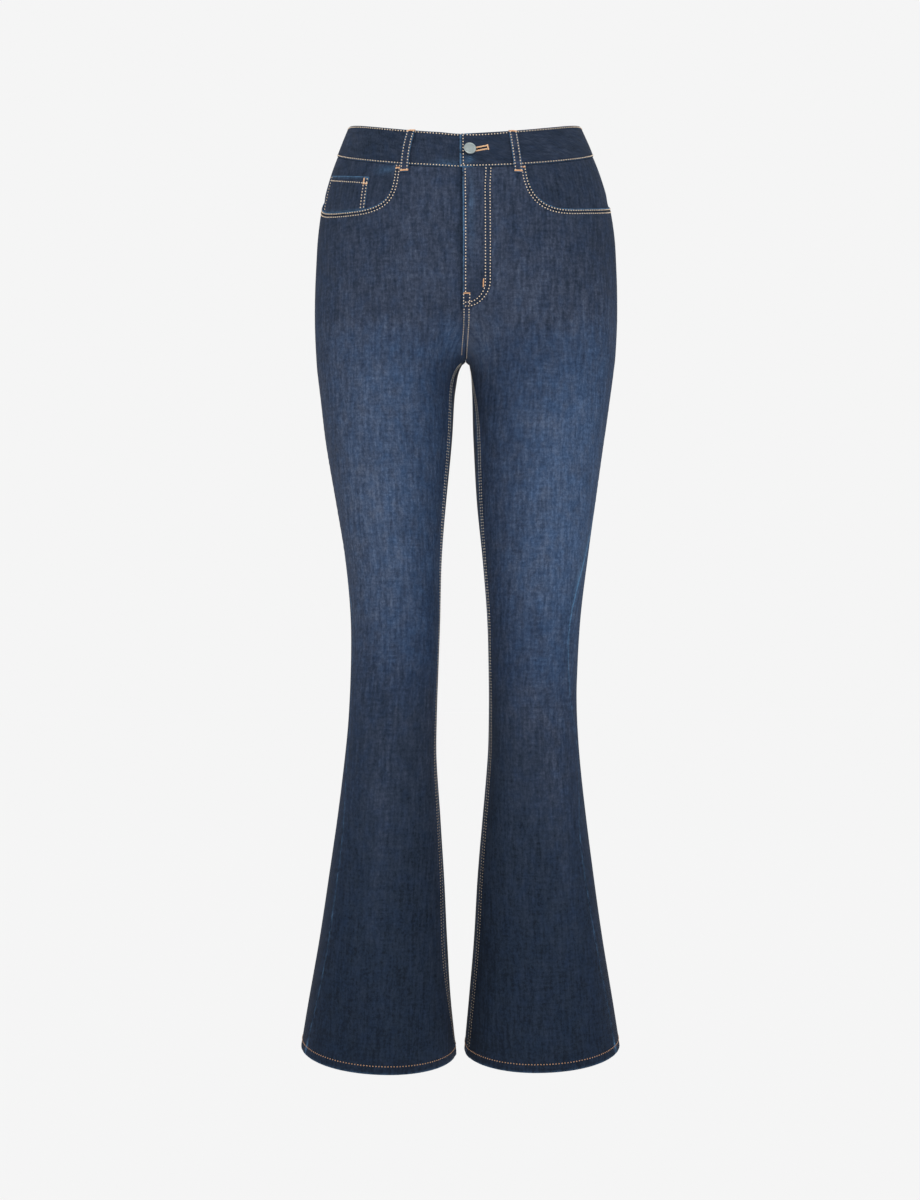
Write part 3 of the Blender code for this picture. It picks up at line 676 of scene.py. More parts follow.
def area_of(points):
    """The area in square metres of a grid of points, as two triangles to a square."""
    near, right, below, far = points[:-1, :-1], points[:-1, 1:], points[1:, :-1], points[1:, 1:]
    halves = np.cross(below - near, right - near), np.cross(below - far, right - far)
    one, two = (np.linalg.norm(half, axis=-1).sum() for half in halves)
    return (one + two) / 2 * MM**2


def declare(piece, points):
    """Attaches a cloth piece to the root and hides the part that it stands for: the node of its own
    name, less the word for its kind. It measures how wide, long and large the cut is, but does
    nothing with that."""
    wide = run_lengths(points)[:, -1].max() * MM
    long = run_lengths(points.swapaxes(0, 1))[:, -1].max() * MM
    area = area_of(points)
    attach(piece, "root")
    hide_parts(piece.name.rsplit("_", 1)[0])


GRAIN_TOP, GRAIN_PAST = 302.0, (0.03, 0.12)  # how far the search runs past the two seams


def from_grain_line(side, turn, z, is_front):
    """How far each point lies from the line down the leg's middle along which the warp runs."""
    heights = z.reshape(-1, 1)
    drop = np.maximum(-heights, GRAIN_TOP)
    middle = (read(SECTIONS, OUTER, drop) + read(SECTIONS, INNER, drop)) / 2
    inner, outer = GRAIN_PAST
    turns = np.linspace(*((-inner, SIDE + outer) if is_front else (1 + inner, SIDE - outer)), 60)
    reach, _ = half_section(side, turns, heights)
    run = run_lengths(form(side, turns, heights))
    order, away_from_seams = 1 if is_front else -1, slice(5, 45)
    found = [
        np.interp(at, turns[::order], r[::order])
        - np.interp(m, x[away_from_seams], r[away_from_seams])
        for at, r, x, m in zip(turn.ravel(), run, reach, middle[:, 0])
    ]
    return np.array(found).reshape(z.shape)


# How far the wash has gone at each drop: down the middle of the right and the left front, down the
# middle of the backs, and down the sides.
WASH_FRONT, WASH_BACK, WASH_EDGE = {RIGHT: 1, LEFT: 2}, 3, 4
WASH = np.array(
    [
        (-40, 0.39, 0.39, 0.36, 0.25),
        (100, 0.42, 0.42, 0.46, 0.24),
        (211, 0.52, 0.53, 0.55, 0.24),
        (258, 0.66, 0.63, 0.42, 0.26),
        (305, 0.71, 0.75, 0.50, 0.30),
        (352, 0.70, 0.80, 0.58, 0.33),
        (422, 0.79, 0.86, 0.60, 0.35),
        (492, 0.74, 0.80, 0.56, 0.39),
        (562, 0.65, 0.69, 0.46, 0.35),
        (633, 0.40, 0.56, 0.36, 0.26),
        (703, 0.29, 0.38, 0.29, 0.22),
        (773, 0.25, 0.29, 0.23, 0.17),
        (843, 0.15, 0.19, 0.16, 0.12),
        (913, 0.13, 0.15, 0.13, 0.10),
        (984, 0.10, 0.12, 0.10, 0.08),
        (1070, 0.07, 0.08, 0.07, 0.06),
    ]
)
# INNER_PAINTED_LIGHT_AND_SHADE is painted light and shade at the legs' inner edges below the
# crotch: lighter on the wearer's right leg, darker on the left where the other leg shades it; the
# backs get a little painted light.
WASH_MIDDLE, INNER_PAINTED_LIGHT_AND_SHADE = {RIGHT: 0.27, LEFT: 0.32}, {RIGHT: -0.28, LEFT: 0.10}
INNER_BACK_PAINTED_LIGHT, WASH_FRONT_WIDE, WASH_BACK_WIDE = -0.06, 0.17, 0.16
WASH_LOW = {RIGHT: 290, LEFT: 335}  # down to here the hips' wash reaches in to the centre
# A painted highlight down the ridge of the soft fold on each shin.
SHIN_PAINTED_HIGHLIGHT, SHIN_PAINTED_HIGHLIGHT_WIDE = 0.07, 0.035


def washed_with_painted_light(side, turn, z):
    """How far the dye has gone: most on the thighs and, less, on the seat and down the shins.
    Painted light and shade are laid on it at the legs' inner edges, and a painted highlight down
    the fold of each shin.
    """
    front, back, edge = (
        np.interp(-z, WASH[:, DROP], WASH[:, column])
        for column in (WASH_FRONT[side], WASH_BACK, WASH_EDGE)
    )
    at_inner = near_centre(turn) * ramp(-z, -CROTCH, 60)
    # painted light and shade at the inner edges
    edge -= np.where(turn < SIDE, INNER_PAINTED_LIGHT_AND_SHADE[side], INNER_BACK_PAINTED_LIGHT) * at_inner
    at_front = bell(turn - WASH_MIDDLE[side], WASH_FRONT_WIDE)
    at_back = bell(turn - 0.75, WASH_BACK_WIDE)
    above = ease((z + mix(WASH_LOW[side], 240, ramp(turn, 0.08, 0.2))) / 115)
    at_front = mix(at_front, ease((SIDE - turn) / 0.42), above)
    # a painted highlight down the fold of each shin
    shin_highlight = bell(turn - WASH_MIDDLE[side], SHIN_PAINTED_HIGHLIGHT_WIDE) * ramp(-z, 640, 60)
    shin_highlight *= SHIN_PAINTED_HIGHLIGHT * ramp(z, -1010, 160)
    return edge + (front - edge) * at_front + (back - edge) * at_back * (turn > SIDE) + shin_highlight


LEAST_BLUE, SIDE_BLUE, HEM_BLUE = 0.08, 0.85, 0.12


def sprayed(side, turn, z):
    """How blue the wash is: the thighs were sprayed from in front, from under the fly to below
    the knees, more on the wearer's right of each leg's other side."""
    uneven = 14 * wave(side * turn * GIRTH, 90, 41) + 25 * ramp(np.minimum(turn, SIDE), 0.3, 0.2)
    down = ease((-z - 214 - uneven) / 46) * (1 - ease((-z - 600 + uneven) / 100))
    across = mix(0.5, ease(turn / 0.42), side)
    at_front = 1 - 0.3 * ramp(turn, 0.46, 0.12)
    thighs = (0.32 + 0.5 * across) * down * at_front
    at_side = SIDE_BLUE * bell(turn - SIDE, 0.13) * (1 - down)
    return np.clip(LEAST_BLUE + thighs + at_side + HEM_BLUE * ramp(-z, 760, 200), 0, 1)


def dab(across, wide, up, tall):
    """A soft patch, fading from its middle outwards."""
    return np.exp(-((across / wide) ** 2) - (up / tall) ** 2)


def spot(points, x, z, wide, tall):
    """A soft patch on a piece's points, by where its middle is seen from in front."""
    return dab(points[..., 0] - x, wide, points[..., 2] - z, tall)


def painted_stitch_shade(distance, reach=5.4):
    """Painted shade in the grooves beside a double row of stitching along an edge."""
    return ramp(distance, 0.7, 0.8) * (1 - ramp(distance, reach, 1.2))


def tucked(points, carried, out):
    """Adds a strip of seam allowance along both edges, turned under so that no light comes
    through. The other values are carried on to it."""
    first = unit(points[:, 0] - points[:, 3]) * ALLOWANCE - out[:, 0] * ALLOWANCE_DEEP
    last = unit(points[:, -1] - points[:, -4]) * ALLOWANCE - out[:, -1] * ALLOWANCE_DEEP
    ends = points[:, :1] + first[:, None], points[:, -1:] + last[:, None]
    wider = [np.concatenate([v[:, :1], v, v[:, -1:]], axis=1) for v in carried]
    return (np.concatenate([ends[0], points, ends[1]], axis=1), *wider)


EDGE_ROLL, INSEAM_THICK = 0.9, 0.55
# How worn the cloth is along the pocket's mouth, the hem, the side seam all the way down and its
# foot, and how pale it is beside the side seam on the wearer's left thigh.
MOUTH_WORN, HEM_WORN, SIDE_WORN, FOOT_WORN, THIGH_WORN = 0.95, 0.3, 0.16, 0.5, 0.28
# Where the side seam is rubbed palest: how much, at which drop, over what length.
SEAM_STREAK = {RIGHT: (0.5, 510, 60), LEFT: (0.95, 470, 110)}
INSEAM_WORN = {RIGHT: 0.95, LEFT: 0.35}
# Painted light beside the inseams, where the legs shade each other; on the wearer's right back it
# also gives the pale worn strip there.
INSEAM_WEAR_AND_PAINTED_LIGHT = {(RIGHT, True): 0.15, (LEFT, True): 0.1, (RIGHT, False): 0.4, (LEFT, False): 0.2}
# Painted light at the crotch, where the legs shade it, and painted shade in the stitching's grooves
# by the pocket's mouth and the inseam.
CROTCH_PAINTED_LIGHT, MOUTH_PAINTED_SHADE, INSEAM_PAINTED_SHADE = 0.55, 0.24, 0.05
FLY_SHADE, FLY_SHADE_END = 0.3, -214.0


def leg_panel(side, is_front):
    turn, z, depth, top_turn, top_z = panel_grid(side, is_front)
    drop, round_it, seed = -z, turn * GIRTH, 10 * (side + 2) + is_front
    flat = form(side, turn, z)
    across = run_lengths(flat)
    first, last = across + SEAM_GAP / 2, across[:, -1:] - across + SEAM_GAP / 2
    inseam, open_side = (first, last) if is_front else (last, first)
    hem_up = z - hem_height(side, turn)
    near_top = z > HIP_ROW - 1
    from_top = np.full(z.shape, 99.0)
    gaps = np.linalg.norm(flat[near_top][:, None] - form(side, top_turn, top_z)[None], axis=-1)
    from_top[near_top] = gaps.min(axis=1)

    lift = -depth
    for edge in (first, last, from_top):
        lift -= rolled(edge, EDGE_ROLL)
    lift += puckers(first, z, seed) + puckers(last, z, seed + 3)
    if is_front:  # the inseam's allowance lies under the front
        lift += INSEAM_THICK * (1 - ramp(inseam, 8.2, 3.0)) * (z < CROTCH - 6)
    lift += puckers(from_top, round_it, seed + 5, 7.0, 0.14, 7.0)
    lift += puckers(np.abs(hem_up - 6), round_it, seed + 7, 8.0, 0.3, 11.0) * (hem_up < 40)
    lift -= creased(turn, z, CREASES[side, is_front])
    lift += 0.35 * wave(z + 60 * turn, 170, seed + 9) * wave(round_it, 140, seed + 11)

    at_mouth = (turn > SCOOPS[side][0] - 0.004) * is_front
    worn = MOUTH_WORN * bell(from_top, 1.1) * at_mouth
    worn += HEM_WORN * bell(np.abs(hem_up), 1.5)
    most, palest, over = SEAM_STREAK[side]
    uneven = 0.22 * wave(z, 21, seed + 1) * ramp(drop, 300, 100)
    worn += (SIDE_WORN + most * bell(drop - palest, over) + uneven) * bell(open_side, 1.3)
    thigh_side = ramp(drop, 190, 60) * (1 - ramp(drop, 480, 90)) * (side == LEFT)
    worn += THIGH_WORN * thigh_side * bell(open_side, 8) * (1 + 0.4 * wave(z, 31, seed + 6))
    worn += FOOT_WORN * dab(open_side, 3.0, hem_up - 8, 6)
    by_seam = bell(inseam, 1.0 if is_front else 5.0) * (1 + 0.4 * wave(z, 17, seed + 4))
    down_inseam = ramp(drop, 290, 70), mix(1.0, 0.25, ramp(drop, 560, 120))
    worn += INSEAM_WORN[side] * by_seam * down_inseam[0] * down_inseam[1]

    tone = washed_with_painted_light(side, turn, z)
    tone += 0.16 * wave(z, 9.0, seed + 2) * bell(open_side, 6)
    # Painted shade in the stitching's grooves by the pocket's mouth and the inseam; painted light
    # at the crotch and beside the inseam, where the legs shade them, with the pale worn strip on
    # the wearer's right back.
    tone -= MOUTH_PAINTED_SHADE * painted_stitch_shade(from_top) * at_mouth + INSEAM_PAINTED_SHADE * painted_stitch_shade(inseam, 8.4) * is_front
    tone += CROTCH_PAINTED_LIGHT * spot(flat, 0, CROTCH + 4, 26, 22) * is_front
    tone += INSEAM_WEAR_AND_PAINTED_LIGHT[side, is_front] * (1 - ease(inseam / 18)) * ramp(drop, 275, 60)
    if is_front and side == RIGHT:  # the shade beside the fly's edge
        tone -= FLY_SHADE * bell(first - 1.4, 1.5) * (z > FLY_SHADE_END)
    wash = np.stack([tone, np.clip(worn, 0, 1), sprayed(side, turn, z)], axis=-1)
    cloth = np.stack([from_grain_line(side, turn, z, is_front), z], axis=-1)
    points = placed(side, turn, z, lift)
    points, wash, cloth, turn, z = tucked(points, (wash, cloth, turn, z), outward(side, turn, z))
    name = f"{'front' if is_front else 'back'}_{HANDS[side]}_panel"
    piece = cloth_piece(name, [points], wash, cloth, (DENIM, DENIM_REVERSE))
    faces_out(piece, side, turn, z)
    wall = piece.modifiers.new("wall", "SOLIDIFY")
    wall.thickness, wall.offset, wall.material_offset = CLOTH * MM, -1, 1
    declare(piece, points)
    return piece


panels = {}
for side in (RIGHT, LEFT):
    for in_front in (True, False):
        panels[side, in_front] = leg_panel(side, in_front)

# ---------------------------------------------------------------- the yokes
# The two shaped pieces of denim between the waistband and the back panels, sewn to both and to
# each other at the centre back. They take the hips' curve out of the seat.
YOKE_TALL, YOKE_PAST, YOKE_WORN, EDGE_WORN_WIDE = 40.0, 1.003, 0.1, 1.2


def spaced(length, step, radius):
    """Distances over a length: close where the edges roll over, about a step apart between."""
    roll = radius * (1 - np.cos(np.linspace(0, math.pi / 2, 5)))
    near = np.append(roll, radius * np.array([1.7, 3.0]))
    count = max(int((length - 2 * near[-1]) / step), 2)
    even = np.linspace(near[-1], length - near[-1], count + 1)[1:-1]
    return np.concatenate([near, even, (length - near)[::-1]])


def across_and_down(points):
    """How far each point of a grid is along its row, and along its column."""
    return run_lengths(points), run_lengths(points.swapaxes(0, 1)).T


def edge_distance(points):
    """Each point's distance from the nearest edge of its grid, along the rows and columns."""
    across, down = across_and_down(points)
    return np.minimum.reduce([across, across[:, -1:] - across, down, down[-1:] - down])


def patch(
    name, side, turn, z, wall, lift, tone, worn=0.0, relief=0.0, faded=0.0, grain_across=False
):
    """A closed piece of cloth on the form, with edges rounded over to half its wall. lift is where
    its middle lies above the form; worn is the wear at its edges and faded that between them."""
    flat = form(side, turn, z)
    away = edge_distance(flat)
    swell = wall / 2 - rolled(away, wall / 2)
    middle = np.asarray(lift) + 0 * z
    outer, inner = (placed(side, turn, z, middle + way) for way in (swell + relief, -swell))
    rim = away < 1e-6
    inner[rim] = outer[rim]
    wear = worn * bell(away, EDGE_WORN_WIDE) + faded
    wash = np.stack([tone + 0 * z, wear + 0 * z, sprayed(side, turn, z) + faded], axis=-1)
    across, down = across_and_down(flat)
    grain = (down, 2 * across) if grain_across else (across - across[:, -1:] / 2, z)
    return cloth_piece(name, [outer, inner], wash, np.stack(grain, axis=-1)), outer


def yoke(side):
    turns = np.linspace(SIDE, YOKE_PAST, SAMPLES)[None]
    length = run_lengths(form(side, turns, 0 * turns - 50))[0, -1] - SEAM_GAP
    share = spaced(length, 4.0, CLOTH / 2) / length
    down = spaced(YOKE_TALL, 3.5, CLOTH / 2) / YOKE_TALL
    turns = np.repeat(turns, len(down), axis=0)
    top, foot = edge_height(WAIST_SEAM, turns) - SEAM_GAP, edge_height(YOKE_SEAM, turns)
    heights = mix(top, foot, down[:, None])
    run = run_lengths(form(side, turns, heights))[:, -1:]
    turn, z = resample(side, turns, heights, SEAM_GAP / 2 + share[None] * (run - SEAM_GAP))
    name, tone = f"yoke_{HANDS[side]}_panel", washed_with_painted_light(side, turn, z)
    piece, points = patch(name, side, turn, z, CLOTH, -CLOTH / 2, tone, worn=YOKE_WORN)
    declare(piece, points)
    return piece


yokes = {side: yoke(side) for side in (RIGHT, LEFT)}

# ---------------------------------------------------------------- pocket facings and coin pocket
# Behind each scoop the pocket is faced with the same denim. The wearer's right one carries the
# small coin pocket: a patch with a turned-over top, its foot caught in the pocket's edge.
FACING_UNDER, FACING_SIDEWAYS, FACING_WALL, FACING_TONE = 10.0, 0.018, 1.0, 0.30
FACING_SHORT, FACING_FADED, FACING_RUBBED = 0.0012, 0.22, (-86, -58, 12, 4)
COIN_INNER, COIN_OUTER, COIN_TOP_INNER, COIN_TOP_OUTER = 0.182, 0.705, -64.6, -51.0
COIN_WALL, COIN_FOLD, COIN_FOLD_TALL, COIN_UNDER = 0.9, 0.35, 5.0, 0.3
FACING_RISE = 1.1  # the facing comes up level away from the pocket's mouth
coin_start, coin_end = (mix(SCOOPS[RIGHT][0], SIDE, q) for q in (COIN_INNER, COIN_OUTER))


def coin_top(turn):
    return mix(COIN_TOP_INNER, COIN_TOP_OUTER, (turn - coin_start) / (coin_end - coin_start))


def stretched_grid(side, first, last, top, foot, step, wall):
    """Turns and heights of a patch between two turns and two edges (functions of the turn)."""
    turns = np.linspace(first, last, SAMPLES)
    middle = run_lengths(form(side, turns, (top(turns) + foot(turns)) / 2))
    turn = np.interp(spaced(middle[-1], step, wall / 2), middle, turns)
    tall = (top(turns) - foot(turns)).max()
    down = spaced(tall, step, wall / 2) / tall
    turn = np.repeat(turn[None], len(down), axis=0)
    return turn, mix(top(turn), foot(turn), down[:, None])


def facing(side):
    start = SCOOPS[side][0]
    first, last = start - FACING_SIDEWAYS, side_turn(side, -90.0) - FACING_SHORT

    def top(turns):
        return edge_height(WAIST_SEAM, turns) - SEAM_GAP

    def foot(turns):
        return scoop_height(side, np.maximum(turns, mix(start, SIDE, 0.05))) - FACING_UNDER

    turn, z = stretched_grid(side, first, last, top, foot, 4.0, FACING_WALL)
    rise = ramp(z - scoop_height(side, turn), 3, 14)
    if side == RIGHT:
        above_coin = ramp(z - coin_top(turn), 2, 10)
        rise = np.maximum(above_coin, rise * ramp(turn - coin_end, 0.004, 0.03))
    lift = -CLOTH - SEAM_GAP - FACING_WALL / 2 + FACING_RISE * rise
    faded = FACING_FADED * spot(form(side, turn, z), *FACING_RUBBED)
    name = f"pocket_facing_{HANDS[side]}_panel"
    piece, points = patch(name, side, turn, z, FACING_WALL, lift, FACING_TONE, faded=faded)
    declare(piece, points)
    return piece


def coin_foot(turn):
    return scoop_height(RIGHT, turn) + COIN_UNDER


facings = {side: facing(side) for side in (RIGHT, LEFT)}
turn, z = stretched_grid(RIGHT, coin_start, coin_end, coin_top, coin_foot, 2.5, COIN_WALL)
under_top = coin_top(turn) - z
coin, points = patch(
    "coin_pocket_panel",
    RIGHT,
    turn,
    z,
    COIN_WALL,
    COIN_WALL / 2 - CLOTH,
    FACING_TONE,
    worn=0.75 * bell(under_top, 3) + 0.25,
    relief=COIN_FOLD * (1 - ramp(under_top, COIN_FOLD_TALL, 1.5)),
)
declare(coin, points)

# ---------------------------------------------------------------- the back pockets
# Two plain patch pockets with a pointed foot. The top edge is turned over twice and sewn down,
# the other edges are turned in and sewn to the back panel with two rows.
POCKET_WIDE, POCKET_TALL, POCKET_POINT, POCKET_TAPER = 132.0, 142.0, 16.0, 0.86
POCKET_OUT, POCKET_LEAN, POCKET_TOP, POCKET_WALL = 95.0, 5.0, -94.0, 1.2
POCKET_FOLD, POCKET_FOLD_TALL, POCKET_SAG = 0.6, 13.0, 0.5


def turn_along(side, distance, z):
    """Turns reached by following the form from the centre back, at one height each."""
    turns = np.linspace(1.0, 0.38, 260)
    run = run_lengths(form(side, turns, np.asarray(z).reshape(-1, 1) + 0 * turns))
    found = [np.interp(d, r, turns) for d, r in zip(np.asarray(distance).reshape(-1), run)]
    return np.array(found).reshape(np.shape(distance))


def back_pocket(side):
    across = spaced(POCKET_WIDE, 4.0, POCKET_WALL / 2) / POCKET_WIDE * 2 - 1
    down = (spaced(POCKET_TALL, 4.0, POCKET_WALL / 2) / POCKET_TALL)[:, None]
    half_wide = POCKET_WIDE / 2 * mix(1.0, POCKET_TAPER, down)
    point = POCKET_POINT * (1 - np.abs(across)) * ease((down - 0.5) * 2)
    z = POCKET_TOP - (POCKET_TALL - POCKET_POINT) * down - point
    turn = turn_along(side, POCKET_OUT + POCKET_LEAN * down + across * half_wide, z)
    under_top = POCKET_TALL * down + 0 * z
    thick_top = POCKET_FOLD * (1 - ramp(under_top, POCKET_FOLD_TALL, 2))
    sag = POCKET_SAG * np.sin(np.pi * down) * (1 - across**2) ** 0.7
    rippled = 0.14 * wave(z, 8, 77 + side) * (np.abs(across) > 0.9)
    piece, points = patch(
        f"back_pocket_{HANDS[side]}_panel",
        side,
        turn,
        z,
        POCKET_WALL,
        SEAM_GAP + POCKET_WALL / 2,
        washed_with_painted_light(side, turn, z) + 0.03,
        worn=0.35 + 0.3 * bell(under_top, 2),
        relief=thick_top + sag + rippled,
    )
    declare(piece, points)
    return piece


back_pockets = {side: back_pocket(side) for side in (RIGHT, LEFT)}

# ---------------------------------------------------------------- the fly
# The front opening is covered by a lapped strip of the wearer's left front. Its edge at the centre
# is turned under and worn pale; on the other side it lies flush along the curved stitching.
FLY_LEFT, FLY_RIGHT, FLY_FOOT, FLY_WALL = -4.2, 28.0, -212.4, 1.1
FLY_CURVE, FLY_FOOT_WIDE, FLY_TOP_WIDE, FLY_STEP = 28.0, 3.0, 30.0, 2.0
FLY_TONE, FLY_WORN, FLY_FADED = 0.43, 0.95, 0.12


def turn_at(side, x, z, start=0.0):
    """Turns at which the form is x from the centre plane, at one height each."""
    turns = np.linspace(start, SIDE, 400)
    reach, _ = half_section(side, turns, np.asarray(z, float).reshape(-1, 1))
    flat = np.broadcast_to(x, np.shape(z)).reshape(-1)
    return np.array([np.interp(d, r, turns) for d, r in zip(flat, reach)]).reshape(np.shape(z))


def level_turn(x, z):
    """Turns on the left half, negative past the centre, by distances from the centre plane."""
    found = turn_at(LEFT, np.abs(x), z)
    return np.where(x < 0, -found, found)


def fly_edge(z):
    above = np.clip((z - FLY_FOOT) / FLY_CURVE, 0, 1)
    return mix(FLY_LEFT + FLY_FOOT_WIDE, FLY_RIGHT, np.sqrt(1 - (1 - above) ** 2))


fly_top = edge_height(WAIST_SEAM, 0.0) - SEAM_GAP
fly_tall = fly_top - FLY_FOOT
down = spaced(fly_tall, FLY_STEP, FLY_WALL / 2) / fly_tall
share = spaced(FLY_TOP_WIDE, FLY_STEP, FLY_WALL / 2) / FLY_TOP_WIDE
across_top = mix(FLY_LEFT, fly_edge(fly_top), share)
under_band = turn_at(LEFT, np.abs(across_top), fly_top + 0 * share)
z = mix(edge_height(WAIST_SEAM, under_band) - SEAM_GAP, FLY_FOOT, down[:, None])
x = mix(FLY_LEFT, fly_edge(z), share)
sunk = ease((x - 12) / (fly_edge(z) - 12)) * ramp(z, FLY_FOOT, 14) * 1.1
pale = 0.1 * (1 + 0.6 * wave(z, 19, 97)) * dab(x - 6, 5, z + 110, 50)
rubbed = 0.4 + 0.6 * np.exp(-(((z + 112) / 48) ** 4))
fly, points = patch(
    "fly_panel",
    LEFT,
    level_turn(x, z),
    z,
    FLY_WALL,
    SEAM_GAP + FLY_WALL / 2 - sunk,
    # painted shade in the grooves beside the fly's curved stitching
    FLY_TONE + pale - 0.1 * ramp(-z, 150, 40) - 0.1 * painted_stitch_shade(fly_edge(z) - x, 8.2),
    worn=FLY_WORN * (x < FLY_LEFT + 4) * rubbed * (1 + 0.35 * wave(z, 11, 93)),
    relief=puckers(x - FLY_LEFT, z, 91, 6.0, 0.16, 9.0),
    faded=(FLY_FADED + 0.05 * wave(z, 23, 95)) * dab(x - 5, 4, z + 105, 42),
)
declare(fly, points)

# ---------------------------------------------------------------- the waistband
# One shaped strip of doubled denim, its grain round the waist. The over end laps the under end at
# the centre front and is buttoned through a slit that is sewn round with close stitches.
BAND_WALL, BAND_PROUD, BAND_TALL, BAND_TONE = 2.4, 0.6, 36.0, 0.28
OVERLAP, OVER_EDGE, OVERLAP_SETTLE = 30.0, -6.6, 0.055
RIM_PULLED, RIM_PULLED_AT, RIM_PULLED_WIDE = 1.2, 0.03, 0.06  # drawn down beside the button
BAND_RUBBED = [(0.25, (-21, -55, 14, 4)), (0.42, (4.6, -50, 5, 4))]
BUTTON_X, BUTTON_Z = 4.0, -39.2
HOLE_LONG, HOLE_WIDE, HOLE_DEEP, HOLE_TILT, HOLE_ROUND = 22.0, 1.9, 5.4, 0.2, 0.8
HOLE_PAST, HOLE_DROP = 2.4, 1.2  # it starts to the side of the button's middle and a little below


def round_the_waist(run):
    """Sides and turns by how far round: the under end is before 0, the right half goes up to 1,
    the left half up to 2, and the over end is beyond."""
    side = np.where((run < 0) | ((run > 1) & (run <= 2)), LEFT, RIGHT)
    return side, np.where(run < 0, -run, np.where(run <= 1, run, np.abs(2 - run)))


over = turn_at(RIGHT, -OVER_EDGE, BUTTON_Z)
run = np.linspace(-turn_at(LEFT, OVERLAP, BUTTON_Z), 2 + over, 900)
side, turn = round_the_waist(run)
middle = (edge_height(RIM, turn) + edge_height(WAIST_SEAM, turn)) / 2
length = run_lengths(form(side, turn, middle))
run = np.interp(spaced(length[-1], 3.8, BAND_WALL / 2), length, run)
side, turn = round_the_waist(run)
down = (spaced(BAND_TALL, 3.2, BAND_WALL / 2) / BAND_TALL)[:, None]
pulled_down = RIM_PULLED * bell(run - (2 + RIM_PULLED_AT), RIM_PULLED_WIDE)
z = mix(edge_height(RIM, turn) - pulled_down, edge_height(WAIST_SEAM, turn), down)
depth = (BAND_WALL + SEAM_GAP) * (1 - ramp(run, over, OVERLAP_SETTLE))
side, turn, run = side + 0 * z.astype(int), turn + 0 * z, run + 0 * z
flat = form(side, turn, z)
lengthwise = run_lengths(flat)
rubbed = sum(most * spot(flat, *place) for most, place in BAND_RUBBED)
rubbed_end = 0.2 * spot(flat, OVER_EDGE + 1, -40, 2.5, 30) * (run > 1.97)
soft = 0.25 * wave(lengthwise, 60, 5) * np.sin(np.pi * np.linspace(0, 1, len(z)))[:, None]
band, points = patch(
    "waistband_band",
    side,
    turn,
    z,
    BAND_WALL,
    BAND_PROUD - BAND_WALL / 2 - depth,
    # painted shade in the grooves beside the band's rows of stitching
    BAND_TONE + 0.05 * wave(lengthwise, 90, 8) - 0.07 * painted_stitch_shade(edge_distance(flat), 3.4),
    worn=0.12 + (0.7 + 0.3 * wave(z, 13, 17)) * (run > 1.985),
    relief=soft,
    faded=rubbed * (flat[..., 1] < 0) + rubbed_end,
    grain_across=True,
)


def finished(piece):
    """Makes a piece's modifiers part of its mesh."""
    graph = bpy.context.evaluated_depsgraph_get()
    made = bpy.data.meshes.new_from_object(piece.evaluated_get(graph))
    piece.modifiers.clear()
    piece.data = made
    return piece


hole_start = BUTTON_X - HOLE_PAST
hole_turn = turn_at(LEFT, hole_start + HOLE_LONG / 2, BUTTON_Z)
hole_middle = Vector(form(LEFT, hole_turn, BUTTON_Z)) - Vector((0, BAND_PROUD, HOLE_DROP))
hole_middle.z += HOLE_TILT * HOLE_LONG / 2
bm = bmesh.new()
bmesh.ops.create_cube(bm, size=1)
bmesh.ops.scale(bm, vec=(HOLE_LONG * MM, HOLE_DEEP * MM, HOLE_WIDE * MM), verts=bm.verts)
ends = [e for e in bm.edges if abs(e.verts[0].co.y - e.verts[1].co.y) > 0.002]
bmesh.ops.bevel(
    bm,
    geom=ends,
    offset=HOLE_ROUND * MM,
    segments=3,
    profile=0.5,
    affect="EDGES",
    material=-1,
)
bmesh.ops.rotate(bm, matrix=Matrix.Rotation(-HOLE_TILT, 3, "Y"), verts=bm.verts)
bmesh.ops.translate(bm, vec=hole_middle * MM, verts=bm.verts)
slit = piece_of(bm, "slit", smooth=False)
cut = band.modifiers.new("slit", "BOOLEAN")
cut.operation, cut.object, cut.solver = "DIFFERENCE", slit, "EXACT"
finished(band)
bpy.data.objects.remove(slit)
declare(band, points)

# ---------------------------------------------------------------- the belt loops
# Five doubled strips with two rows of stitching, tacked below the rim and below the waist seam and
# standing a little off the band between.

# For each: its place, its side, how far its top and its foot are from the centre plane, the turn
# where that is counted from, and how far its foot reaches below the waist seam.
LOOPS = [
    ("front_right", RIGHT, 60.0, 68.4, 0.0, 9.2),
    ("front_left", LEFT, 52.2, 58.0, 0.0, 9.2),
    ("rear_right", RIGHT, 88.0, 96.0, 1.0, 8.5),
    ("rear_left", LEFT, 88.0, 96.0, 1.0, 9.5),
    ("centre_back", LEFT, 0.0, 0.0, 1.0, 9.0),
]
LOOP_WIDE, LOOP_TALL, LOOP_WALL, LOOP_LIFT, LOOP_SWELL = 9.6, 50.0, 1.6, 1.9, 0.8
LOOP_UNDER_RIM, LOOP_BOW = 1.2, {RIGHT: 1.2, LEFT: 0.0}
LOOP_TONE, LOOP_WORN, LOOP_CHANNEL = 0.36, 0.4, 0.25


def loop_line(loop, down):
    """The middle of a belt loop: its turns and heights at shares of its length."""
    _, side, top_x, foot_x, start, below = loop
    middle = turn_at(side, top_x, RIM[0], start)
    top, foot = edge_height(RIM, middle) - LOOP_UNDER_RIM, edge_height(WAIST_SEAM, middle) - below
    z = mix(top, foot, down)
    x = mix(top_x, foot_x, down) + LOOP_BOW[side] * np.sin(np.pi * down) * (not start)
    return turn_at(side, x, z, start), z


def length_per_turn(side, turn, z):
    step = 0.002
    there_and_back = form(side, turn + step, z) - form(side, turn - step, z)
    return np.linalg.norm(there_and_back, axis=-1) / (2 * step)


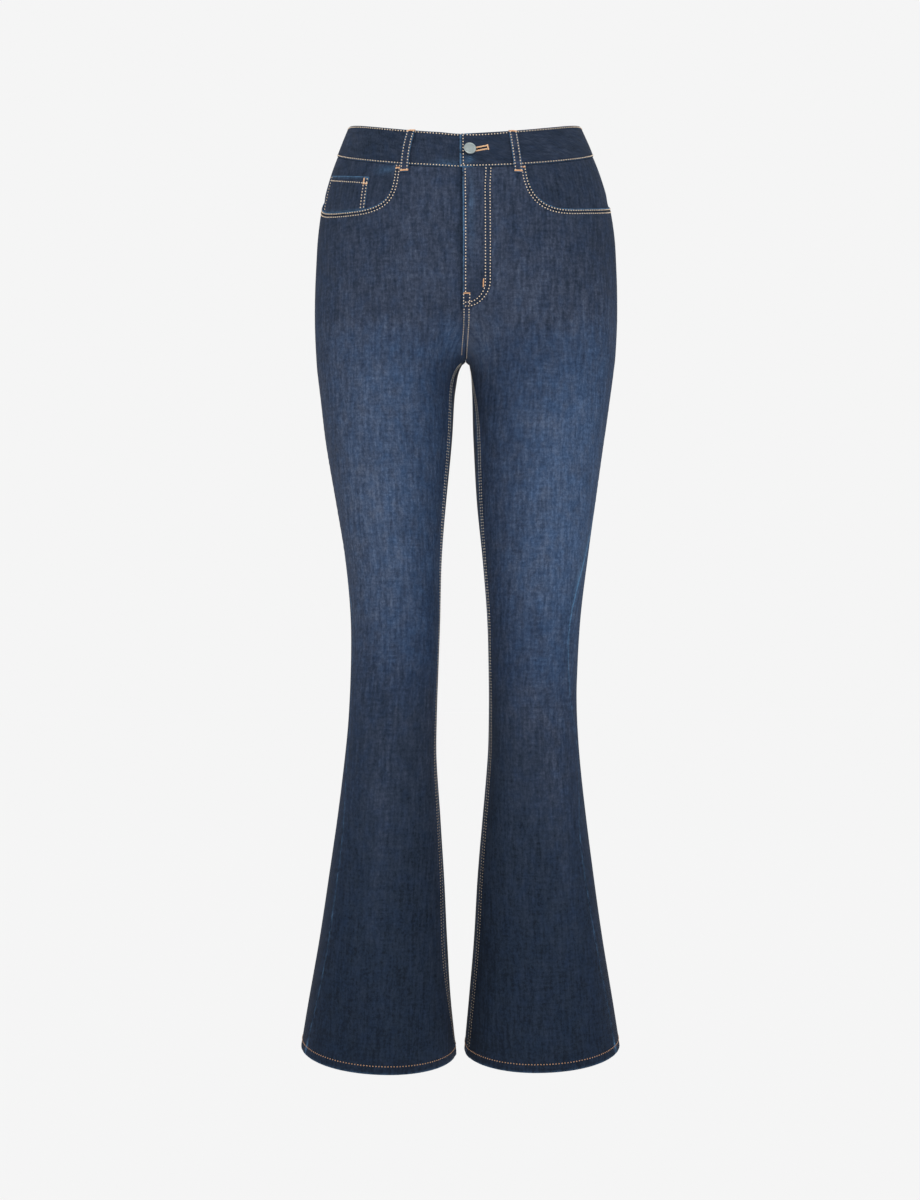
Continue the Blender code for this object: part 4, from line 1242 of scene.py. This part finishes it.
def belt_loop(loop):
    name, side, *_ = loop
    down = spaced(LOOP_TALL, 2.4, LOOP_WALL / 2) / LOOP_TALL
    turn, z = loop_line(loop, down)
    across = spaced(LOOP_WIDE, 1.2, LOOP_WALL / 2) - LOOP_WIDE / 2
    turn = turn[:, None] + across / length_per_turn(side, turn, z)[:, None]
    z = z[:, None] + 0 * across
    stand = LOOP_LIFT * np.sin(np.pi * down) ** LOOP_SWELL
    lift = BAND_PROUD + SEAM_GAP + LOOP_WALL / 2 + stand[:, None] + 0 * z
    channel = LOOP_CHANNEL * np.cos(np.clip(across / LOOP_WIDE * 2.6, -1, 1) * np.pi)
    name = f"belt_loop_{name}_strip"
    wear = {"worn": LOOP_WORN, "relief": channel}
    piece, points = patch(name, side, turn, z, LOOP_WALL, lift, LOOP_TONE, **wear)
    declare(piece, points)
    return piece


loops = {loop[0]: belt_loop(loop) for loop in LOOPS}

# ---------------------------------------------------------------- the button
# A plain two-part shank button: a domed cap of dull nickel with a rolled rim, on a shank that is
# riveted through the under end of the waistband.
BUTTON_RADIUS, BUTTON_THICK, BUTTON_LIFT, SHANK_RADIUS = 7.0, 2.6, 1.6, 1.9
BUTTON_TURNED = Vector((0.15, 0, 0.1))  # it is pulled a little up and to the side
# The cap from its middle over the rim to its back, as shares of its radius and its thickness.
BUTTON_PROFILE = [
    *((0.0, 0.93), (0.25, 0.925), (0.5, 0.905), (0.7, 0.87), (0.78, 0.86), (0.84, 0.90)),
    *((0.9, 0.92), (0.95, 0.87), (0.985, 0.72), (1.0, 0.48), (0.985, 0.24), (0.94, 0.08)),
    (0.86, 0.0),
]
wire, connect = finish_of("dull_nickel", Metallic=1.0)
where = wire.node("ShaderNodeTexCoord", out="Object")
scuffs = wire.noise(where, (900, 900, 900), 4.0, 0.6)
tarnish = wire.noise(where, (160, 160, 160), 3.0)
nickel = connect(
    Base_Color=wire.between(tarnish, colour(150, 164, 166), colour(198, 208, 206)),
    Roughness=0.26 + scuffs * 0.2,
    Normal=wire.bump(scuffs, 0.2, 0.0001),
)
face, foot = BAND_PROUD + BUTTON_LIFT, BAND_PROUD - BAND_WALL
profile = [(r * BUTTON_RADIUS, face + h * BUTTON_THICK) for r, h in BUTTON_PROFILE]
profile += [(SHANK_RADIUS, face), (SHANK_RADIUS, foot), (0, foot)]
bm = bmesh.new()
line = [bm.verts.new((radius * MM, 0, height * MM)) for radius, height in profile]
line += [bm.edges.new(pair) for pair in zip(line, line[1:])]
bmesh.ops.spin(bm, geom=line, axis=(0, 0, 1), angle=2 * math.pi, steps=64, use_merge=True)
bmesh.ops.remove_doubles(bm, verts=bm.verts[:], dist=0.01 * MM)
bmesh.ops.recalc_face_normals(bm, faces=bm.faces[:])
button_turn = turn_at(LEFT, BUTTON_X, BUTTON_Z)
seat = Vector(form(LEFT, button_turn, BUTTON_Z)) * MM
direction = Vector(outward(LEFT, button_turn, BUTTON_Z)) + BUTTON_TURNED
placing = Matrix.Translation(seat) @ direction.to_track_quat("Z", "Y").to_matrix().to_4x4()
bmesh.ops.transform(bm, matrix=placing, verts=bm.verts[:])
button = piece_of(bm, "shank_button", nickel)
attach(button, "root")
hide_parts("button")

# ---------------------------------------------------------------- the topstitching
# Thick tan thread in lockstitch, about eight stitches in an inch, drawn down into the cloth. Rows
# run beside the seams that are sewn flat, round the pockets and the fly, and along the hems.
STITCH_PITCH, STITCH_LONG, STITCH_THICK, STITCH_LIFT, STITCH_UNEVEN = 3.4, 1.6, 1.35, 0.12, 0.035
STITCH_BLUNT, STITCH_DIP, STITCH_FLAT = 0.7, 0.5, 0.35
LAID_FROM, LAID_REACH = 9.0, 14.0  # how far above the form a stitch is let down from, and how far
TAN = (colour(230, 199, 170), colour(255, 238, 212))
# The inseams' faded tan thread is given paler shades still, as painted light where the legs shade
# it.
FADED_TAN_AND_PAINTED_LIGHT, LOW_TAN = (colour(238, 224, 202), colour(255, 246, 228)), colour(176, 158, 136)
HEM_TAN = (colour(150, 112, 84), colour(198, 152, 116))
ORANGE = (colour(206, 152, 106), colour(240, 190, 144))
PEACH = (colour(218, 168, 122), colour(250, 210, 168))


def thread_finish(name, shades, low=None):
    """Twisted polyester thread: fine plies across it, and fuzz that dulls it. It may darken down
    the legs to a low shade, where it is less washed out."""
    wire, connect = finish_of(name, Roughness=0.7, Sheen_Weight=0.2)
    where = wire.node("ShaderNodeTexCoord", out="Object")
    plies, faded = (wire.noise(where, (grains, grains, grains)) for grains in (1600, 60))
    base = wire.between(plies * 0.6 + faded * 0.5, *shades)
    if low:
        height = wire.node("ShaderNodeSeparateXYZ", sockets={0: where}, out="Z")
        down = wire.maths("MULTIPLY", height * -1 - 0.5, 3.0, use_clamp=True)
        base = wire.between(down, base, low)
    bump = wire.bump(plies, 0.3, 0.0001)
    return connect(Base_Color=base, Roughness=0.62 + plies * 0.2, Normal=bump)


THREAD, TACK_THREAD = thread_finish("tan_thread", TAN), thread_finish("orange_thread", ORANGE)
HOLE_THREAD = thread_finish("peach_thread", PEACH)
INSEAM_THREAD = thread_finish("faded_tan_thread", FADED_TAN_AND_PAINTED_LIGHT, LOW_TAN)
HEM_THREAD = thread_finish("brown_tan_thread", HEM_TAN)


def one_stitch(thread):
    """A single stitch lying along X: a rounded rod whose ends dip."""
    bm = bmesh.new()
    bmesh.ops.create_uvsphere(bm, u_segments=6, v_segments=5, radius=1)
    bmesh.ops.rotate(bm, matrix=Matrix.Rotation(math.pi / 2, 3, "Y"), verts=bm.verts)
    for vert in bm.verts:
        vert.co.x = math.copysign(abs(vert.co.x) ** STITCH_BLUNT, vert.co.x)
        vert.co.z -= STITCH_DIP * vert.co.x**4
    return piece_of(bm, "stitch", thread)


def sewing_nodes(stitch, long, thick):
    """Puts a stitch on every point, along its own direction, and makes them real."""
    tree = bpy.data.node_groups.new("sewing", "GeometryNodeTree")
    for way in ("INPUT", "OUTPUT"):
        tree.interface.new_socket("Geometry", in_out=way, socket_type="NodeSocketGeometry")
    wire, axes = Wire(tree), {"primary_axis": "X", "secondary_axis": "Z"}
    along, out = (
        wire.node("GeometryNodeInputNamedAttribute", {"data_type": "FLOAT_VECTOR"}, {"Name": key})
        for key in ("along", "out")
    )
    ways = {"Primary Axis": along, "Secondary Axis": out}
    laid = {
        "Points": wire.node("NodeGroupInput"),
        "Instance": wire.node("GeometryNodeObjectInfo", None, {"Object": stitch}, "Geometry"),
        "Rotation": wire.node("FunctionNodeAxesToRotation", axes, ways),
        "Scale": (long / 2 * MM, thick / 2 * MM, STITCH_FLAT * thick * MM),
    }
    stitches = wire.node("GeometryNodeInstanceOnPoints", sockets=laid)
    real = wire.node("GeometryNodeRealizeInstances", sockets={"Geometry": stitches})
    wire.node("NodeGroupOutput", sockets={0: real})
    return tree


def sew(name, rows, thread, long=STITCH_LONG, thick=STITCH_THICK):
    """Makes a piece of stitches. Each row is (points, along, out), in millimetres."""
    points, along, out = (np.concatenate([row[k] for row in rows]) for k in range(3))
    mesh = bpy.data.meshes.new(name)
    mesh.from_pydata(points * MM, [], [])
    for key, values in (("along", along), ("out", out)):
        attribute = mesh.attributes.new(key, "FLOAT_VECTOR", "POINT")
        attribute.data.foreach_set("vector", values.astype(np.float32).ravel())
    piece, stitch = linked(name, mesh), one_stitch(thread)
    piece.modifiers.new("sewing", "NODES").node_group = sewing_nodes(stitch, long, thick)
    finished(piece)
    bpy.data.objects.remove(stitch)
    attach(piece, "root")


surfaces = {}


def surface(pieces):
    """The outer faces of cloth pieces, to lay stitches on."""
    key = tuple(piece.name for piece in pieces)
    if key not in surfaces:
        points, faces = [], []
        for piece in pieces:
            first = len(points)
            points += [v.co.copy() for v in piece.data.vertices]
            faces += [[first + v for v in p.vertices] for p in piece.data.polygons]
        surfaces[key] = BVHTree.FromPolygons(points, faces)
    return surfaces[key]


STITCH_SEED = np.random.default_rng(7)


def row_of_stitches(on, side, turn, z, beside=0.0, pitch=STITCH_PITCH, crosswise=False):
    """Stitches along a line on the form, moved sideways by beside, laid on the cloth below."""
    line, out = form(side, turn, z), outward(side, turn, z)
    ahead = unit(np.gradient(line, axis=0))
    line = line + unit(np.cross(out, ahead)) * beside
    run = run_lengths(line)
    count = max(int(run[-1] / pitch), 1)
    at = (np.arange(count) + 0.5) * run[-1] / count
    points, out, ahead = (
        np.stack([np.interp(at, run, values[:, k]) for k in range(3)], axis=-1)
        for values in (line, out, ahead)
    )
    tree, kept = surface(on), []
    for point, up, way in zip(points, unit(out), unit(ahead)):
        above = Vector((point + up * LAID_FROM) * MM)
        place, normal, *_ = tree.ray_cast(above, Vector(-up), LAID_REACH * MM)
        if place is None:
            continue
        normal = np.array(normal) if normal.dot(Vector(up)) > 0 else -np.array(normal)
        across = unit(np.cross(normal, way))
        lying = unit(way + across * STITCH_SEED.normal(0, STITCH_UNEVEN))
        place = np.array(place) / MM + normal * STITCH_LIFT
        kept.append((place, across if crosswise else lying, normal))
    return tuple(np.array([k[i] for k in kept]).reshape(-1, 3) for i in range(3))


INSEAM_ROWS, INSEAM_LONG, INSEAM_FINE = (1.8, 8.0), 1.4, 1.1
SCOOP_ROWS, SEAT_ROWS, SEAT_FOOT, HEM_ROW = (2.0, 5.6), (1.7, 4.9), -236.0, 9.4
for side in (RIGHT, LEFT):
    hand = HANDS[side]
    front, rear = panels[side, True], panels[side, False]
    z = np.linspace(CROTCH - 5, HEM + 6, 400)
    seam = inseam_turn(side, z)
    per_turn = length_per_turn(side, seam + 0.004, z)
    rows = [row_of_stitches([front], side, seam + d / per_turn, z) for d in INSEAM_ROWS]
    sew(f"inseam_stitching_{hand}", rows, INSEAM_THREAD, INSEAM_LONG, INSEAM_FINE)

    turn = mix(SCOOPS[side][0], side_turn(side, -85.0), np.linspace(0, 1, 500) ** 3)
    z = scoop_height(side, turn)
    rows = [row_of_stitches([front], side, turn, z, beside=-side * d) for d in SCOOP_ROWS]
    sew(f"pocket_edge_stitching_{hand}", rows, THREAD)

    seam = inseam_turn(side, HEM)
    turn = mix(seam, 1 + seam, np.linspace(0.001, 0.999, 700))
    row = row_of_stitches([front, rear], side, turn, hem_height(side, turn) + HEM_ROW)
    sew(f"hem_stitching_{hand}", [row], HEM_THREAD)

    turn = np.linspace(SIDE, 1, 300)
    z = edge_height(YOKE_SEAM, turn)
    rows = [row_of_stitches([yokes[side]], side, turn, z + d) for d in SEAT_ROWS]
    if side == LEFT:
        z = np.linspace(-74, SEAT_FOOT, 300)
        per_turn = length_per_turn(side, 0.99, z)
        rows += [row_of_stitches([rear], side, 1 - d / per_turn, z) for d in SEAT_ROWS]
    sew(f"seat_stitching_{hand}", rows, THREAD)

# Round the back pockets: two rows at the edge, and one across under the turned-over top.
POCKET_ROWS, POCKET_TOP_ROW = (1.7, 7.9), 12.4
for side in (RIGHT, LEFT):
    lines = []
    for inset in POCKET_ROWS:
        down = np.linspace(0, 1, 120)
        half_wide = POCKET_WIDE / 2 * mix(1.0, POCKET_TAPER, down) - inset
        z = POCKET_TOP - 0.5 - (POCKET_TALL - POCKET_POINT - inset - 0.5) * down
        lines += [(POCKET_OUT + POCKET_LEAN * down + way * half_wide, z) for way in (-1, 1)]
        across = np.linspace(-1, 1, 120) * (1 - inset / 57)
        out = POCKET_OUT + POCKET_LEAN + across * POCKET_WIDE / 2 * POCKET_TAPER
        z = POCKET_TOP - (POCKET_TALL - POCKET_POINT) - POCKET_POINT * (1 - np.abs(across)) + inset
        lines.append((out, z))
    out = POCKET_OUT + POCKET_LEAN * POCKET_TOP_ROW / POCKET_TALL
    across = np.linspace(-0.985, 0.985, 120) * POCKET_WIDE / 2
    lines.append((out + across, np.full(120, POCKET_TOP - POCKET_TOP_ROW)))
    on = [back_pockets[side]]
    rows = [row_of_stitches(on, side, turn_along(side, out, z), z) for out, z in lines]
    sew(f"back_pocket_stitching_{HANDS[side]}", rows, THREAD)

# The coin pocket: across under its top, two rows up its inner side and one up its outer side.
COIN_ROW_INNER, COIN_ROW_OUTER, COIN_ROW_FOOT = 7.4, 5.4, -101.0
turn = np.linspace(coin_start, coin_end, 150)
z = coin_top(turn) - np.linspace(COIN_ROW_INNER, COIN_ROW_OUTER, 150)
rows = [row_of_stitches([coin], RIGHT, turn, z)]
for seam, inset in ((coin_start, 1.9), (coin_start, 6.2), (coin_end, -1.8)):
    z = np.linspace(coin_top(seam) - 0.6, COIN_ROW_FOOT, 80)
    turn = seam + inset / length_per_turn(RIGHT, seam, z)
    keep = z > scoop_height(RIGHT, turn) + 0.5
    rows.append(row_of_stitches([coin], RIGHT, turn[keep], z[keep]))
sew("coin_pocket_stitching", rows, THREAD)

# The fly: along its edge, and two rows that swing in at its foot to a small box; below it the
# lapped centre seam.
FLY_ROW, FLY_BOX_RIGHT, FLY_BOX_TOP, FLY_BOX_FOOT = -1.1, 3.6, -198.6, -210.5
FLY_CURVED_ROWS, FLY_BEND_FROM = ((26.1, -211.4), (20.7, -207.6)), 0.2
CENTRE_ROWS, CENTRE_ROWS_SWAY = (-2.6, 3.0), 2.4
paths = [(np.full(200, FLY_ROW), np.linspace(fly_top - 1, FLY_BOX_TOP, 200))]
bend = np.linspace(0, math.pi / 2, 120)
for row_x, row_foot in FLY_CURVED_ROWS:
    radius = row_x - FLY_BEND_FROM
    bend_x, bend_z = FLY_BEND_FROM + radius * np.cos(bend), row_foot + radius * (1 - np.sin(bend))
    straight = np.linspace(fly_top + 0.6, bend_z[0], 300)
    spread = row_x + ramp(straight, -85, 30) * 1.4
    x = np.concatenate([spread, bend_x, np.linspace(0, FLY_ROW - 1.6, 10)])
    paths.append((x, np.concatenate([straight, bend_z, np.full(10, row_foot)])))
z = np.linspace(FLY_BOX_TOP, FLY_BOX_FOOT, 40)
paths += [(np.full(40, x), z) for x in (FLY_ROW - 2.0, FLY_BOX_RIGHT)]
z = np.linspace(FLY_FOOT - 1.5, CROTCH + 0.4, 120)
paths += [(x - CENTRE_ROWS_SWAY * ramp(-z, 222, 45), z) for x in CENTRE_ROWS]
on_front = [fly, panels[LEFT, True], panels[RIGHT, True]]
rows = [row_of_stitches(on_front, LEFT, level_turn(x, z), z) for x, z in paths]
sew("fly_stitching", rows, THREAD)

# The waistband: one row under the rim, one above the waist seam, one up the over end.
RIM_ROW, SEAM_ROW, OVER_END_ROW = -2.1, 1.7, 3.6
rows = []
for edge, off in ((RIM, RIM_ROW), (WAIST_SEAM, SEAM_ROW)):
    for side, first, last in ((RIGHT, 0.0, 1.0), (LEFT, 1.0, 0.0)):
        turn = np.linspace(first, last, 500)
        pulled_down = RIM_PULLED * bell(turn - RIM_PULLED_AT, RIM_PULLED_WIDE)
        z = edge_height(edge, turn) + off - pulled_down * (side == LEFT) * (edge == RIM)
        rows.append(row_of_stitches([band], side, turn, z))
z = np.linspace(edge_height(RIM, 0.0) - 2, edge_height(WAIST_SEAM, 0.0) + SEAM_ROW, 60)
rows.append(row_of_stitches([band], LEFT, level_turn(np.full(60, OVER_EDGE + OVER_END_ROW), z), z))
sew("waistband_stitching", rows, THREAD)

# Two rows down every belt loop.
LOOP_ROWS = (-3.2, 3.2)
rows = []
for loop in LOOPS:
    name, side, *_ = loop
    turn, z = loop_line(loop, np.linspace(0.02, 0.98, 80))
    per_turn = length_per_turn(side, turn, z)
    rows += [row_of_stitches([loops[name]], side, turn + off / per_turn, z) for off in LOOP_ROWS]
sew("belt_loop_stitching", rows, THREAD)

# ---------------------------------------------------------------- bar tacks and the buttonhole
# Where a seam takes a pull it is sewn over with close cross stitches of thicker orange thread: at
# both ends of the belt loops, at the pockets' corners and on the fly. The buttonhole is sewn round.
TACK_PITCH, TACK_WIDE, TACK_THICK, TACK_UNDER_SEAM = 0.55, 2.1, 0.7, {RIGHT: 4.4, LEFT: 2.6}
LOOP_TACK, CORNER_TACK, POCKET_TACK, FLY_TACK, FLY_TACK_WIDE = 9.4, 6.0, 7.0, 9.0, 1.5


def tack(on, side, turn, z, long, upright=False):
    """A bar tack: its middle, its length, and whether it stands upright or lies level."""
    if upright:
        z = np.linspace(z + long / 2, z - long / 2, 12)
        turn = turn + 0 * z
    else:
        half = long / 2 / length_per_turn(side, turn, z)
        turn = np.linspace(turn - half, turn + half, 12)
        z = z + 0 * turn
    return row_of_stitches(on, side, turn, z, pitch=TACK_PITCH, crosswise=True)


rows = []
for loop in LOOPS:
    name, side, *_ = loop
    ends = zip(*loop_line(loop, np.array([0.025, 0.965])))
    rows += [tack([loops[name]], side, turn, z, LOOP_TACK) for turn, z in ends]
for side in (RIGHT, LEFT):
    start = SCOOPS[side][0]
    z = edge_height(WAIST_SEAM, start) - TACK_UNDER_SEAM[side]
    rows.append(tack([panels[side, True]], side, start - 0.0085, z, CORNER_TACK))
    for way in (-1, 1):
        turn = turn_along(side, POCKET_OUT + way * (POCKET_WIDE / 2 - 4.6), POCKET_TOP - 1.6)
        rows.append(tack([back_pockets[side]], side, turn, POCKET_TOP - 1.8, POCKET_TACK))
per_turn = length_per_turn(RIGHT, coin_start, -64.0)
for inset, below, long, upright in ((6.2, 4.2, 7.4, True), (2.6, 7.2, 3.4, False)):
    turn = coin_start + inset / per_turn
    rows.append(tack([coin], RIGHT, turn, COIN_TOP_INNER - below, long, upright))
sew("bar_tacks", rows, TACK_THREAD, TACK_WIDE, TACK_THICK)
turn = turn_at(LEFT, 18.6, -188.0)
rows = [tack([fly, panels[LEFT, True]], LEFT, turn, -188.0, FLY_TACK, upright=True)]
z = np.full(12, FLY_BOX_TOP)
turn = level_turn(np.linspace(FLY_ROW - 2.2, FLY_BOX_RIGHT + 0.6, 12), z)
rows.append(row_of_stitches(on_front, LEFT, turn, z, pitch=TACK_PITCH, crosswise=True))
sew("fly_bar_tacks", rows, TACK_THREAD, FLY_TACK_WIDE, TACK_THICK)

# Along both sides of the slit, and across its outer end.
HOLE_ROWS, HOLE_PITCH, HOLE_STITCH_LONG, HOLE_STITCH_THICK = (-1.9, 1.9), 0.62, 1.9, 0.75
HOLE_END_PITCH, HOLE_END_OUT, HOLE_END_HALF = 0.5, 0.9, 3.1
x = np.linspace(BUTTON_X + 5.5, hole_start + HOLE_LONG, 60)
middle = BUTTON_Z - HOLE_DROP + HOLE_TILT * (x - hole_start)
lines = [(x, middle + way, HOLE_PITCH) for way in HOLE_ROWS]
up = np.linspace(HOLE_END_HALF, -HOLE_END_HALF, 20)
lines.append((x[-1] + HOLE_END_OUT - HOLE_TILT * up, middle[-1] + up, HOLE_END_PITCH))
rows = [
    row_of_stitches([band], LEFT, turn_at(LEFT, x, z), z, pitch=pitch, crosswise=True)
    for x, z, pitch in lines
]
sew("buttonhole_stitching", rows, HOLE_THREAD, HOLE_STITCH_LONG, HOLE_STITCH_THICK)

# ---------------------------------------------------------------- the studio
# A pale paper floor and backdrop, soft light from all round and from large boxes in front and to
# both sides, and the camera.
FLOOR_Z, FLOOR_RADIUS, PAPER = -1.27, 9.0, colour(245, 245, 245)
wire, connect = finish_of("paper", Roughness=0.9, Specular_IOR_Level=0.0, Emission_Strength=0.995)
fibres = wire.noise(wire.node("ShaderNodeTexCoord", out="Object"), (40, 40, 40), 3.0)
paper = connect(
    Base_Color=wire.between(fibres, colour(18, 18, 18), colour(20, 20, 20)),
    Emission_Color=wire.between(fibres, PAPER, PAPER),
)
bm = bmesh.new()
bmesh.ops.create_circle(bm, cap_ends=True, segments=96, radius=FLOOR_RADIUS)
bmesh.ops.translate(bm, vec=(0, 0, FLOOR_Z), verts=bm.verts)
floor = piece_of(bm, "paper_floor", paper, smooth=False)
floor.visible_diffuse = floor.visible_glossy = False

SOFT_LIGHT, SOFT_LIGHT_STRENGTH = (1, 1, 1, 1), 0.68
world = bpy.data.worlds.new("studio")
world.use_nodes = True
wire, soft_light = Wire(world.node_tree), world.node_tree.nodes["Background"]
soft_light.inputs["Color"].default_value = SOFT_LIGHT
soft_light.inputs["Strength"].default_value = SOFT_LIGHT_STRENGTH
backdrop = wire.node("ShaderNodeBackground", sockets={"Color": PAPER})
seen = wire.node("ShaderNodeLightPath", out="Is Camera Ray")
light = {0: seen, 1: Wire(wire.tree, soft_light.outputs[0]), 2: backdrop}
chosen = wire.node("ShaderNodeMixShader", sockets=light)
wire.tree.links.new(chosen.socket, wire.tree.nodes["World Output"].inputs["Surface"])
bpy.context.scene.world = world
bpy.context.scene.view_settings.view_transform = "Standard"

LIT = Vector((0.0, 0.0, -0.5))  # all the boxes face the middle of the garment
LIGHTS = [
    ("front_box", (0.0, -3.2, 0.6), (2.6, 2.0), 27.0),
    ("low_box", (0.0, -3.3, -0.95), (2.2, 0.5), 8.0),
    ("left_box", (-2.6, -1.9, 0.1), (1.4, 2.2), 6.5),
    ("right_box", (2.6, -1.9, 0.1), (1.4, 2.2), 6.5),
    ("back_box", (0.0, 3.2, 0.6), (2.6, 2.0), 20.0),
]
for name, place, size, power in LIGHTS:
    lamp = bpy.data.lights.new(name, "AREA")
    lamp.shape, lamp.size, lamp.size_y, lamp.energy = "RECTANGLE", *size, power
    box = linked(name, lamp)
    box.location = place
    box.rotation_euler = (LIT - Vector(place)).to_track_quat("-Z", "Y").to_euler()

CAMERA_PLACE, CAMERA_LENS, FILM_WIDTH = (-0.0053, -1.95, -0.5391), 50.0, 36.0
camera_data = bpy.data.cameras.new("camera")
camera_data.lens, camera_data.sensor_width, camera_data.sensor_fit = CAMERA_LENS, FILM_WIDTH, "AUTO"
camera = linked("camera", camera_data)
camera.location, camera.rotation_euler = CAMERA_PLACE, (math.pi / 2, 0, 0)
bpy.context.scene.camera = camera
